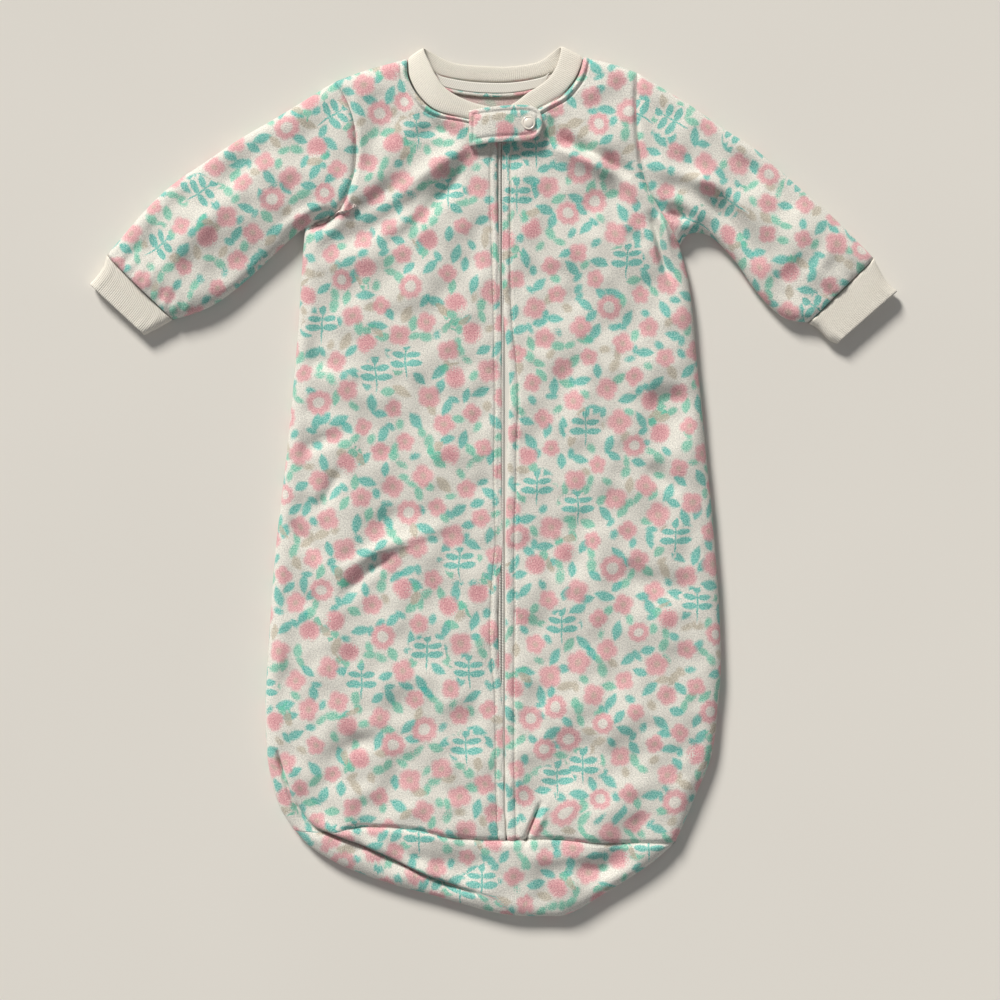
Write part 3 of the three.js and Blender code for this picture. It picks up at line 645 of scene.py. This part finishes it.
    # every bloom is a little deeper in its middle, and a blossom deeper all over
    middle = add(tree, "MapRange", (reach, 1.0, 9.0, 1.0, 0.0), interpolation_type="SMOOTHSTEP")
    all_over = motif(reach, 1.0, 9.0, which, BLOSSOMS)
    deeper = add(tree, "Math", (middle, 0.35, all_over), operation="MULTIPLY_ADD")
    cloth = print_over(cloth, print_over(PINK, PINK_DEEP, deeper), pink, take)
    cloth = print_over(cloth, BEIGE, flower_eye, take, 0.8)
    cloth = print_over(cloth, ground, ring_eye, 0.92)
    fleck = add(tree, "MapRange", (fibre, 0.25, 0.75, 0.6, 1.18))
    cloth = add(tree, "VectorMath", {0: cloth, 3: fleck}, operation="SCALE")

    # nap: tufts about 1.2 mm across over fibres of 0.4 mm, both drawn coarse enough to see
    tufts = add(tree, "TexNoise", {"Vector": place, "Scale": 0.85, "Detail": 4.0, "Roughness": 0.65},
                noise_dimensions="2D")
    bump = add(tree, "Bump", {"Strength": 0.6, "Distance": 0.0011, "Height": tufts})
    shader = add(tree, "BsdfPrincipled", {
        "Base Color": cloth, "Roughness": 0.93, "IOR": 1.45, "Specular IOR Level": 0.25,
        "Sheen Weight": 0.3, "Sheen Roughness": 0.55, "Normal": bump})
    add(tree, "OutputMaterial", {"Surface": shader}, None)
    return material


def rib_knit(name, colour, spacing, depth):
    """Cotton rib knit: fine raised wales in rows, soft and matt, in a cream a little yellower than the
    fleece. spacing is from wale to wale, in millimetres."""
    material, tree = new_material(name)
    place = add(tree, "UVMap", uv_map="weave")
    wales = add(tree, "TexWave", {
        "Vector": place, "Scale": WAVE_OF_1_MM / spacing, "Distortion": 0.6,
        "Detail": 1.0, "Detail Scale": 0.4}, 1, wave_type="BANDS", bands_direction="X")
    loops = add(tree, "TexNoise", {"Vector": place, "Scale": 1.1, "Detail": 3.0}, noise_dimensions="2D")
    height = add(tree, "Math", (wales, 0.6, loops), operation="MULTIPLY_ADD")
    # painted shade: the cream is darkened in the hollows between the wales and lightened on their tops, by
    # the same height as the bump
    painted_wale_shade = add(tree, "MapRange", (height, 0.3, 1.2, 0.85, 1.04))
    patch = add(tree, "TexNoise", {"Vector": place, "Scale": 0.03, "Detail": 2.0}, noise_dimensions="2D")
    base = add(tree, "Mix", {0: patch, 6: srgb(colour), 7: srgb("#EDE7DB")}, 2, data_type="RGBA")
    base = add(tree, "VectorMath", {0: base, 3: painted_wale_shade}, operation="SCALE")
    bump = add(tree, "Bump", {"Strength": depth, "Distance": 0.0006, "Height": height})
    shader = add(tree, "BsdfPrincipled", {
        "Base Color": base, "Roughness": 0.88, "IOR": 1.5, "Specular IOR Level": 0.3, "Sheen Weight": 0.2,
        "Sheen Roughness": 0.5, "Normal": bump})
    add(tree, "OutputMaterial", {"Surface": shader}, None)
    return material


def woven_tape():
    """Polyester herringbone tape, woven: a dense white twill with a slight shine."""
    material, tree = new_material("woven_tape")
    place = add(tree, "UVMap", uv_map="weave")
    twill = add(tree, "TexWave", {"Vector": place, "Scale": 0.42, "Distortion": 0.0}, 1,
                wave_type="BANDS", bands_direction="DIAGONAL")
    bump = add(tree, "Bump", {"Strength": 0.35, "Distance": 0.0004, "Height": twill})
    # painted shade: the white is darker in the hollows of the twill and lighter on its ridges, following
    # the same bands as the bump
    painted_twill_shade = add(tree, "Mix", {0: twill, 6: srgb("#DEDAD0"), 7: srgb("#F3F1EB")}, 2, data_type="RGBA")
    shader = add(tree, "BsdfPrincipled", {
        "Base Color": painted_twill_shade, "Roughness": 0.7, "IOR": 1.5, "Sheen Weight": 0.1, "Normal": bump})
    add(tree, "OutputMaterial", {"Surface": shader}, None)
    return material


def plain_finish(name, colour, roughness, coat=0.0, grain=0.35):
    """Shared by the thread, the nylon coil, the painted slider and the snap: a colour that varies a little
    over a few millimetres, with a fine grain."""
    material, tree = new_material(name)
    place = add(tree, "TexCoord", out=3)
    cloud = add(tree, "TexNoise", {"Vector": place, "Scale": 260.0, "Detail": 3.0})
    base = add(tree, "MapRange", (cloud, 0.2, 0.8, 0.93, 1.03))
    base = add(tree, "VectorMath", {0: srgb(colour)[:3], 3: base}, operation="SCALE")
    fine = add(tree, "TexNoise", {"Vector": place, "Scale": 2200.0, "Detail": 2.0})
    bump = add(tree, "Bump", {"Strength": grain, "Distance": 0.0001, "Height": fine})
    shader = add(tree, "BsdfPrincipled", {
        "Base Color": base, "Roughness": roughness, "Coat Weight": coat, "Coat Roughness": 0.15,
        "Normal": bump})
    add(tree, "OutputMaterial", {"Surface": shader}, None)
    return material


def studio_floor():
    """Matt painted board, almost white."""
    material, tree = new_material("studio_floor")
    place = add(tree, "TexCoord", out=3)
    cloud = add(tree, "TexNoise", {"Vector": place, "Scale": 3.0, "Detail": 2.0})
    base = add(tree, "Mix", {0: cloud, 6: srgb("#E4E1DB"), 7: srgb("#EBE8E2")}, 2, data_type="RGBA")
    shader = add(tree, "BsdfPrincipled", {"Base Color": base, "Roughness": 0.9})
    add(tree, "OutputMaterial", {"Surface": shader}, None)
    return material


FLEECE = printed_fleece("printed_fleece", 1.0, GROUND)
FLEECE_INSIDE = printed_fleece("fleece_inside", 0.3, srgb("#DFD3CD"))
RIB = rib_knit("cream_rib_knit", "#F6F2E8", 1.5, 0.6)
TAPE = woven_tape()
THREAD = plain_finish("spun_polyester_thread", "#F1EDE4", 0.6, grain=0.5)
NYLON = plain_finish("nylon_zip_coil", "#F0EEE8", 0.35)
PAINTED_ZINC = plain_finish("painted_zinc_slider", "#EDEAE2", 0.32, coat=0.3)
PEARL = plain_finish("pearl_snap", "#F3ECE2", 0.18, coat=0.8, grain=0.05)


# ---------------------------------------------------------------- the fronts
def front_piece(name, node, side, armhole, neck, shoulder, left):
    sign = -1 if left else 1
    steps = np.concatenate([np.full(95, 1.05), np.full(105, 3.55)])
    shares = np.concatenate([[0], np.cumsum(steps)]) / steps.sum()
    outer = np.vstack([spaced(side, shares), evenly(armhole, 72)[1:]])
    neck_line = evenly(neck, NECK_ROWS)
    zip_rows = len(outer) - len(neck_line)
    seam_line = evenly(BASE_SEAM, 60)
    low = np.interp(ZIP_X, seam_line[:, 0], seam_line[:, 1])
    zip_steps = np.concatenate([steps, np.full(zip_rows - 1 - len(steps), 1.0)])
    levels = np.concatenate([[0], np.cumsum(zip_steps)])
    zip_y = low + (268 - low) * levels[:zip_rows] / levels[zip_rows - 1]
    inner = np.vstack([np.stack([slit_edge(zip_y, sign), zip_y], axis=1), neck_line])
    width = np.linalg.norm(inner - outer, axis=1)
    places = column_places(width, NEAR_EDGE, 90)
    share = (places / width[:, None])[..., None]
    flat = outer[:, None] * (1 - share) + inner[:, None] * share
    straight = outer[0, 1] + (inner[0, 1] - outer[0, 1]) * share[..., 0]
    fade = np.clip(1 - np.arange(len(outer)) / 70, 0, 1)[:, None]
    flat[..., 1] += (np.interp(flat[..., 0], seam_line[:, 0], seam_line[:, 1]) - straight) * fade
    rows = np.arange(len(outer))[:, None]
    top = evenly(shoulder, 40)
    top = top[np.argsort(top[:, 0])]
    lift = np.interp(flat[-1, :, 0], top[:, 0], top[:, 1]) - flat[-1, :, 1]
    flat[..., 1] += lift[None] * smooth((rows - len(outer) + 30) / 29)
    x, y = flat[..., 0], flat[..., 1]
    z = front_height(x, y)
    from_inner = (width[:, None] - places)
    at_zip = smooth((zip_rows + 6 - rows) / 12)
    stitch = STITCH_FROM_SLIT[left] * at_zip + STITCH_FROM_COLLAR * (1 - at_zip)
    z = z - 2.4 * at_zip * (1 - rounded(from_inner, 2.2))
    z = z - (1.3 - 0.2 * at_zip) * np.exp(-(((from_inner - stitch) / 0.9) ** 2))
    z = z + (1.2 - 0.6 * at_zip) * np.exp(-(((from_inner - stitch * 0.5) / (stitch * 0.32)) ** 2))
    points = np.stack([x, y, np.minimum(z, under_slider(x))], axis=-1)
    rolled = lengths_along(points, 1) - lengths_along(flat, 1)
    weave = np.stack([x + sign * (rolled[:, -1:] - rolled), y], axis=-1)
    piece = sheet_piece(name, points, weave, FLEECE, flip=not left)
    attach(piece, "bag")
    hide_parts(node)
    return points, stitch


def under_slider(x):
    """The height the cloth beside the zip keeps under, so that the slider passes over it."""
    from_zip = np.abs(x - ZIP_X)
    return 15.65 + 0.95 * smooth((from_zip - 2.7) / 1.2) + 6 * smooth((from_zip - 4.8) / 4)


def slit_edge(y, sign):
    """Where each front stops beside the zip."""
    line = evenly(SLIT, 160)
    return np.interp(y, line[:, 0], line[:, 1 if sign < 0 else 2])


left_points, left_stitch = front_piece(
    "front_left", "front_panel_left", SIDE_LEFT, ARMHOLE_LEFT, NECK_LEFT, SHOULDER_LEFT, True)
right_points, right_stitch = front_piece(
    "front_right", "front_panel_right", SIDE_RIGHT, ARMHOLE_RIGHT, NECK_RIGHT, SHOULDER_RIGHT, False)


# ---------------------------------------------------------------- back and base
def back_piece():
    columns = 110
    share = closer_at_ends(columns)[None, :, None]
    left = np.vstack([evenly(SIDE_LEFT, 90), evenly(ARMHOLE_LEFT, 34)[1:]])
    right = np.vstack([evenly(SIDE_RIGHT, 90), evenly(ARMHOLE_RIGHT, 34)[1:]])
    flat = left[:, None] * (1 - share) + right[:, None] * share
    right_shoulder = evenly(SHOULDER_RIGHT, 30)[::-1]
    top = np.vstack([evenly(SHOULDER_LEFT, 30), evenly(NECK_BACK, 60)[1:], right_shoulder[1:]])
    lift = np.interp(flat[-1, :, 0], top[:, 0], top[:, 1]) - flat[-1, :, 1]
    fade = np.clip((np.arange(len(left)) - (len(left) - 34)) / 33, 0, 1)[:, None]
    flat[..., 1] += lift[None] * fade
    rim = evenly(RIM, 200)
    rim_row = np.stack([flat[0, :, 0], np.interp(flat[0, :, 0], rim[:, 0], rim[:, 1])], axis=1)
    below = np.linspace(0, 1, 22)[:-1, None, None]
    flat = np.concatenate([rim_row[None] * (1 - below) + flat[:1] * below, flat])
    x, y = flat[..., 0], flat[..., 1]
    points = np.stack([x, y, back_height(x, y)], axis=-1)
    piece = sheet_piece("back", points, np.stack([-x, y], axis=-1), FLEECE, flip=True)
    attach(piece, "bag")
    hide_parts("back_panel")


def base_piece():
    columns = 270
    x = np.linspace(-151.8, 138.8, columns)
    seam, rim = evenly(BASE_SEAM, 80), evenly(RIM, 200)
    top = np.interp(x, seam[:, 0], seam[:, 1])
    low = np.interp(x, rim[:, 0], rim[:, 1])
    down = np.sort(np.concatenate([np.linspace(0, 1, 36), 1 - np.linspace(0.03, 0.16, 14) ** 1.4]))[:, None]
    grid_x = np.repeat(x[None], len(down), axis=0)
    grid_y = top[None] * (1 - down) + low[None] * down
    points = np.stack([grid_x, grid_y, front_height(grid_x, grid_y)], axis=-1)
    shift = smooth(beyond_crease(grid_x, grid_y)[0] / 1.5 + 0.5)
    rolled = lengths_along(points, 0) - lengths_along(points[..., :2], 0)
    weave = np.stack([grid_x + 31 * shift, grid_y - rolled - 47 * shift], axis=-1)
    piece = sheet_piece("base", points, weave, FLEECE, flip=True)
    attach(piece, "bag")
    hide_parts("base_panel")


back_piece()
base_piece()


# ---------------------------------------------------------------- sleeves and cuffs
def tube_grid(stations, rows, half):
    """Outer face of a flattened tube: rows along it, and round it over the top and back underneath."""
    w = closer_at_ends(half)
    chords = []
    for station in stations:
        line = evenly(station, 60)
        chords.append(np.stack([np.interp(w, np.linspace(0, 1, 60), line[:, k]) for k in (0, 1)], axis=1))
    return np.array([through([c[k] for c in chords], rows) for k in range(half)]).transpose(1, 0, 2)


def sleeve_piece(name, nodes, armhole, stations, left):
    flat = tube_grid([list(evenly(armhole, 40))[::-1]] + stations, 116, 56)
    x, y = flat[..., 0], flat[..., 1]
    top = front_height(x, y)
    low = back_height(x, y)
    to_cuff = distance(x, y, np.array([stations[-1][0], stations[-1][-1]], float))
    gathers = np.sin(lengths_along(flat, 1) * 2 * math.pi / 9.5)
    gathers = gathers * np.exp(-(to_cuff / 13)) * smooth(to_cuff / 6)
    top = top + 0.8 * gathers * rounded(edge_gap(x, y), 12) - 1.6 * np.exp(-((to_cuff / 2.2) ** 2))
    upper = np.stack([x, y, top], axis=-1)
    under = np.stack([x, y, low], axis=-1)[:, 1:-1][:, ::-1]
    points = np.concatenate([upper, under], axis=1)
    rolled = lengths_along(upper, 1) - lengths_along(flat, 1)
    rolled = rolled - rolled[:, 28:29]
    down = np.array([-0.85, -0.53]) if left else np.array([0.85, -0.53])
    over = np.stack([x * -down[1] + y * down[0], -(x * down[0] + y * down[1])], axis=-1)
    over[..., 0] += (-1 if left else 1) * -rolled
    turned_under = over[:, 1:-1][:, ::-1] + (212, 0)
    weave = np.concatenate([over, turned_under, over[:, :1] + (212, 0)], axis=1)
    piece = sheet_piece(name, points, weave, FLEECE, flip=left, around=True)
    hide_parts(*nodes)
    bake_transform(piece)


def cuff_piece(name, node, stations, body, left):
    """A doubled rib band: its outer face turns in over the open end."""
    flat = tube_grid(stations, 26, 30)
    rows, half = flat.shape[:2]
    x, y = flat[..., 0], flat[..., 1]
    ends = [through([s[k] for s in stations], 80) for k in (0, -1)]
    gap = np.maximum(np.minimum(distance(x, y, ends[0]), distance(x, y, ends[1])) - 0.06, 0)
    share = np.linspace(0, 1, rows)[:, None]
    pinch = rounded(share * 24 + 0.2, 2.2) * rounded((1 - share) * 24 + 0.5, 2.0)
    ripple = 0.25 * np.sin(lengths_along(flat, 1) * 2 * math.pi / 7.0 + 1.3 * share)
    top = 5.4 + (5.2 + ripple - 0.5 * share) * rounded(gap, 6) * (0.8 + 0.2 * pinch)
    low = 5.4 - 5.1 * rounded(gap, 6)
    upper = np.stack([x, y, top], axis=-1)
    under = np.stack([x, y, low], axis=-1)[:, 1:-1][:, ::-1]
    points = np.concatenate([upper, under], axis=1)
    closed = np.concatenate([points, points[:, :1]], axis=1)
    weave = np.stack([lengths_along(closed, 1), np.repeat(share * 24, closed.shape[1], axis=1)], axis=-1)
    piece = sheet_piece(name, points, weave, RIB, thickness=2.2, flip=left, around=True)
    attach(piece, body)
    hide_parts(node)


sleeve_piece("sleeve_l", ["sleeve_left_upper", "sleeve_left"], ARMHOLE_LEFT, SLEEVE_LEFT,
             True)
sleeve_piece("sleeve_r", ["sleeve_right_upper", "sleeve_right"], ARMHOLE_RIGHT, SLEEVE_RIGHT,
             False)
cuff_piece("cuff_l", "cuff_left", CUFF_LEFT, "left_sleeve", True)
cuff_piece("cuff_r", "cuff_right", CUFF_RIGHT, "right_sleeve", False)


# ---------------------------------------------------------------- neck band and tape
def padded_loop(seam, free, thickness, wide):
    """Closed sections of a soft band between two edges, with both edges rounded."""
    middle = (seam + free) / 2
    along = np.gradient(middle, axis=0)
    along /= np.linalg.norm(along, axis=1)[:, None]
    across = free - seam
    out = np.cross(across, along)
    out /= np.linalg.norm(out, axis=1)[:, None]
    turn = np.linspace(0, 2 * math.pi, wide, endpoint=False)
    side = np.sign(np.cos(turn)) * np.abs(np.cos(turn)) ** 0.55
    up = np.sign(np.sin(turn)) * np.abs(np.sin(turn)) ** 0.75
    return middle[:, None] + across[:, None] * (side[None, :, None] / 2) + \
        out[:, None] * (up[None, :, None] * thickness / 2)


def neck_band_piece():
    keys = np.array(NECK_BAND, float)
    rows, wide = 240, 40
    seam = through(keys[:, :3], rows)
    free = through(keys[:, 3:], rows)
    along = lengths_along((seam + free)[:, None] / 2, 0)[:, 0]
    across = np.linspace(0, 44, wide + 1)
    piece = tube_piece("neck_band", padded_loop(seam, free, 2.5, wide), along, across, RIB)
    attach(piece, "bag")
    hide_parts("neck_rib")


def ribbon(name, top, low, z, thickness):
    """A flat tape between two edges."""
    steps = np.linspace(0, 1, 9)[:, None, None]
    flat = top[None] * (1 - steps) + low[None] * steps
    points = np.concatenate([flat, np.full(flat.shape[:2] + (1,), z)], axis=-1)
    weave = np.stack([lengths_along(flat, 1), lengths_along(flat, 0)], axis=-1)
    piece = sheet_piece(name, points, weave, TAPE, thickness=thickness)
    fix_normals(piece)
    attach(piece, "bag")
    return piece


neck_band_piece()
tape_top = evenly(NECK_TAPE_TOP, 80)
tape_low = evenly(NECK_TAPE_LOW, 80)
neck_tape = ribbon("neck_seam_tape", tape_top, tape_low, 3.5, 0.7)
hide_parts("neck_tape")


def soft_cord(name, path, radii, material):
    """A soft roll of cloth along a path."""
    sides = 16
    along = np.gradient(path, axis=0)
    along /= np.linalg.norm(along, axis=1)[:, None]
    side = np.cross((0, 0, 1), along)
    up = np.cross(along, side)
    turn = np.linspace(0, 2 * math.pi, sides, endpoint=False)
    ends = rounded(np.minimum(np.arange(len(path)), np.arange(len(path))[::-1]) + 0.05, 5)[:, None, None]
    points = path[:, None] + ends * (radii[0] * np.cos(turn)[None, :, None] * side[:, None]
                                     + radii[1] * np.sin(turn)[None, :, None] * up[:, None])
    length = lengths_along(path[:, None], 0)[:, 0]
    piece = tube_piece(name, points, length, np.arange(sides + 1), material)
    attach(piece, "bag")


def raised(line, z):
    return np.concatenate([line, np.full((len(line), 1), z)], axis=1)


soft_cord("back_neck_edge", raised(tape_low + (0, -1.4), 3.4), (1.5, 1.0), FLEECE)
zigzag = evenly((tape_top + tape_low) / 2, 121)
zigzag[:, 1] += np.where(np.arange(121) % 2, 3.4, -3.4)
soft_cord("tape_zigzag", raised(zigzag, 3.65), (0.24, 0.24), THREAD)


# ---------------------------------------------------------------- stitching
def stitch_row(name, path, length, gap):
    """Separate stitches of thread lying along a path of points on the cloth."""
    steps = np.concatenate([[0], np.cumsum(np.linalg.norm(np.diff(path, axis=0), axis=1))])
    vertices, faces = [], []
    at = gap
    sides = 6
    while at + length < steps[-1]:
        spots = [np.array([np.interp(at + length * f, steps, path[:, k]) for k in range(3)])
                 for f in (0, 0.15, 0.5, 0.85, 1)]
        along = spots[-1] - spots[0]
        along /= np.linalg.norm(along)
        side = np.cross((0, 0, 1), along)
        side /= np.linalg.norm(side)
        up = np.cross(along, side)
        start = len(vertices)
        for spot, size in zip(spots, (0.35, 0.9, 1, 0.9, 0.35)):
            sink = (1 - size) * STITCH_RADIUS * 1.4
            for k in range(sides):
                turn = 2 * math.pi * k / sides
                out = STITCH_RADIUS * size * (math.cos(turn) * side + math.sin(turn) * up)
                vertices.append(spot + out - up * sink)
        faces += tube_faces(5, sides, start)
        at += length + gap
    piece = mesh_piece(name, vertices, faces, THREAD)
    fix_normals(piece)
    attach(piece, "bag")


def along_columns(points, offset, first, last):
    """A path that keeps one distance from the inner edge of a front, from one row to another."""
    path = []
    for row in range(first, last):
        line = points[row]
        back = np.linalg.norm(line[-1, :2] - line[:, :2], axis=1)
        order = np.argsort(back)
        path.append([np.interp(offset[row, 0], back[order], line[order, k]) for k in range(3)])
    path = np.array(path)
    path[:, 2] += 0.1
    return path


zip_rows = len(left_points) - NECK_ROWS
for label, points, stitch in (("left", left_points, left_stitch), ("right", right_points, right_stitch)):
    down_the_zip = along_columns(points, stitch, 1, zip_rows - 2)
    round_the_neck = along_columns(points, stitch, zip_rows + 12, len(points) - 2)
    stitch_row(f"zip_stitches_{label}", down_the_zip, 2.7, 0.9)
    stitch_row(f"neck_stitches_{label}", round_the_neck, 2.4, 0.8)


# ---------------------------------------------------------------- zip
def zip_coil(name, node, side):
    """A nylon coil sewn to its tape: one slanting loop every 1.2 mm."""
    sides = 6
    vertices, faces = [], []
    y = ZIP_BOTTOM + 0.5
    while y < ZIP_TOP - 0.5:
        start = len(vertices)
        for share in (0, 0.3, 0.7, 1):
            centre = np.array([ZIP_X + side * (0.25 + 1.75 * share), y + 0.35 * side * share,
                               COIL_HEIGHT + 0.45 * math.sin(math.pi * share)])
            for k in range(sides):
                turn = 2 * math.pi * k / sides
                vertices.append(centre + COIL_WIRE * np.array([0, math.cos(turn), math.sin(turn)]))
        faces += tube_faces(4, sides, start)
        y += COIL_PITCH
    piece = mesh_piece(name, vertices, faces, NYLON)
    fix_normals(piece)
    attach(piece, "bag")
    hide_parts(node)


def zip_tape(name, node, side):
    y = np.linspace(ZIP_BOTTOM - 3, 282, 120)
    near = np.stack([np.full_like(y, ZIP_X + side * 0.35), y], axis=1)
    far = np.stack([np.full_like(y, ZIP_X + side * 13), y], axis=1)
    piece = ribbon(name, near, far, TAPE_HEIGHT, 0.55)
    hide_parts(node)


for label, side in (("left", -1), ("right", 1)):
    zip_coil(f"coil_{label}", f"zip_coil_{label}", side)
    zip_tape(f"tape_{label}", f"zip_tape_{label}", side)


def softened(name, node, body, material, bevel):
    """A hard piece with the shape the frame gives it and its sharp edges rounded off."""
    piece = bpy.data.objects.new(name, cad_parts[node].data.copy())
    bpy.context.collection.objects.link(piece)
    piece.data.materials.clear()
    piece.data.materials.append(material)
    edge = piece.modifiers.new("rounded_edges", "BEVEL")
    edge.width = bevel * MM
    edge.segments = 3
    edge.limit_method = "ANGLE"
    edge.angle_limit = math.radians(35)
    apply_modifiers(piece)
    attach(piece, body)
    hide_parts(node)


for node in ("zip_top_stop_left", "zip_top_stop_right", "zip_bottom_stop"):
    softened(node.replace("zip_", "stop_"), node, "bag", NYLON, 0.25)
softened("slider", "slider_body", "slider", PAINTED_ZINC, 0.3)
softened("pull", "slider_pull", "pull", PAINTED_ZINC, 0.12)


# ---------------------------------------------------------------- tab and snap
def tab_piece(name, node, inset, above, thickness, material, dimple):
    """One padded layer of the tab, with rolled edges."""
    keys = np.array(TAB, float)
    rows = 110
    line = through(keys, rows)
    line[:, 0] = np.minimum(line[:, 0], 37 - inset * 0.9)
    upper, lower = line[:, 1] - inset, line[:, 2] + inset
    turn = np.linspace(0, 2 * math.pi, 72, endpoint=False)
    side = np.sign(np.cos(turn)) * np.abs(np.cos(turn)) ** 0.42
    up = np.sign(np.sin(turn)) * np.abs(np.sin(turn)) ** 0.55
    middle = (upper + lower) / 2
    half = (upper - lower) / 2
    y = middle[:, None] + half[:, None] * side[None]
    x = np.repeat(line[:, :1], len(turn), axis=1)
    end = rounded(TAB_TIP - inset - x, 2.4) * (0.75 + 0.25 * rounded(x - TAB_SEWN, 2.0))
    z = line[:, 3:4] + above + thickness / 2 + up[None] * thickness / 2 * end
    on_top = np.clip(up, 0, 1)[None]
    to_end = np.minimum(TAB_TIP - x, (x - TAB_SEWN) * 1.1)
    to_edge = np.minimum(half[:, None] * (1 - np.abs(side[None])), to_end)
    puff = 0.5 * on_top * (1 - np.abs(side[None]) ** 4)
    seam = -1.05 * on_top * np.exp(-(((to_edge - 4.2) / 1.2) ** 2))
    to_snap = np.hypot(x - SNAP[0], y - SNAP[1])
    pressed = -dimple * on_top * np.exp(-((to_snap / 7.5) ** 2))
    points = np.stack([x, y, z + (puff + seam) * end + pressed], axis=-1)
    around = np.append(lengths_along(points, 1)[0], lengths_along(points, 1)[0, -1] + 1)
    piece = tube_piece(name, points, x[:, 0] + 20, around, material)
    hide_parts(node)
    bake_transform(piece)
    return piece


tab = tab_piece("tab", "neck_tab", 0, 1.1, 2.7, FLEECE, 1.0)
lining = tab_piece("tab_lining", "neck_tab_lining", 1.0, 0, 0.8, TAPE, 0.0)


def turned_piece(name, node, profile, body, material):
    """A piece turned about the snap's centre line from its radii and heights."""
    sides = 64
    keys = np.array(profile, float)
    turns = [2 * math.pi * k / sides for k in range(sides)]
    vertices = [(SNAP[0] + r * math.cos(turn), SNAP[1] + r * math.sin(turn), z)
                for r, z in keys for turn in turns]
    piece = mesh_piece(name, vertices, tube_faces(len(keys), sides), material)
    fix_normals(piece)
    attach(piece, body)
    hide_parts(node)


CAP_PROFILE = [(4.6, 22.9), (5.0, 23.1), (5.2, 23.5), (5.1, 24.0), (4.8, 24.25), (4.4, 24.3), (4.1, 24.15),
               (3.9, 23.95), (3.7, 24.05), (3.2, 24.4), (2.4, 24.7), (1.4, 24.88), (0.3, 24.93)]
turned_piece("snap_button", "snap_cap", CAP_PROFILE, "tab", PEARL)
for node, body in (("snap_socket", "tab"), ("snap_stud", "bag"), ("snap_back_ring", "bag")):
    softened(node.replace("snap_", "press_"), node, body, PEARL, 0.15)


# ---------------------------------------------------------------- floor, light and camera
def soft_sun(name, place, strength, spread, colour):
    """A wide lamp far away, as even over the whole floor as a studio's overhead softbox."""
    data = bpy.data.lights.new(name, "SUN")
    data.angle = math.radians(spread)
    data.energy = strength
    data.color = srgb(colour)[:3]
    lamp = bpy.data.objects.new(name, data)
    lamp.location = place
    lamp.rotation_euler = (-Vector(place)).to_track_quat("-Z", "Y").to_euler()
    bpy.context.collection.objects.link(lamp)


corners = [(-FLOOR_REACH, -FLOOR_REACH, 0), (FLOOR_REACH, -FLOOR_REACH, 0),
           (FLOOR_REACH, FLOOR_REACH, 0), (-FLOOR_REACH, FLOOR_REACH, 0)]
floor = mesh_piece("floor", corners, [(0, 1, 2, 3)], studio_floor())
floor.location.z = -0.0004

soft_sun("key", (-0.9, 1.6, 1.1), 3.9, 16, "#FFFBF4")
soft_sun("fill", (0.6, -1.6, 1.7), 0.26, 60, "#F2F5FF")
world = bpy.data.worlds.new("studio")
world.use_nodes = True
world.node_tree.nodes["Background"].inputs["Color"].default_value = srgb("#F4F2EE")
world.node_tree.nodes["Background"].inputs["Strength"].default_value = 0.19
bpy.context.scene.world = world
bpy.context.scene.view_settings.view_transform = "Standard"

CAMERA_HEIGHT = 1.5
SEEN_WIDTH = 0.76            # metres across the frame at the height of the cloth
camera_data = bpy.data.cameras.new("camera")
camera_data.sensor_width = 36
camera_data.lens = 36 * (CAMERA_HEIGHT - 0.012) / SEEN_WIDTH
camera = bpy.data.objects.new("camera", camera_data)
camera.location = (0.005, -0.0142, CAMERA_HEIGHT)
camera.rotation_euler = Euler((0, 0, 0))
bpy.context.collection.objects.link(camera)
bpy.context.scene.camera = camera
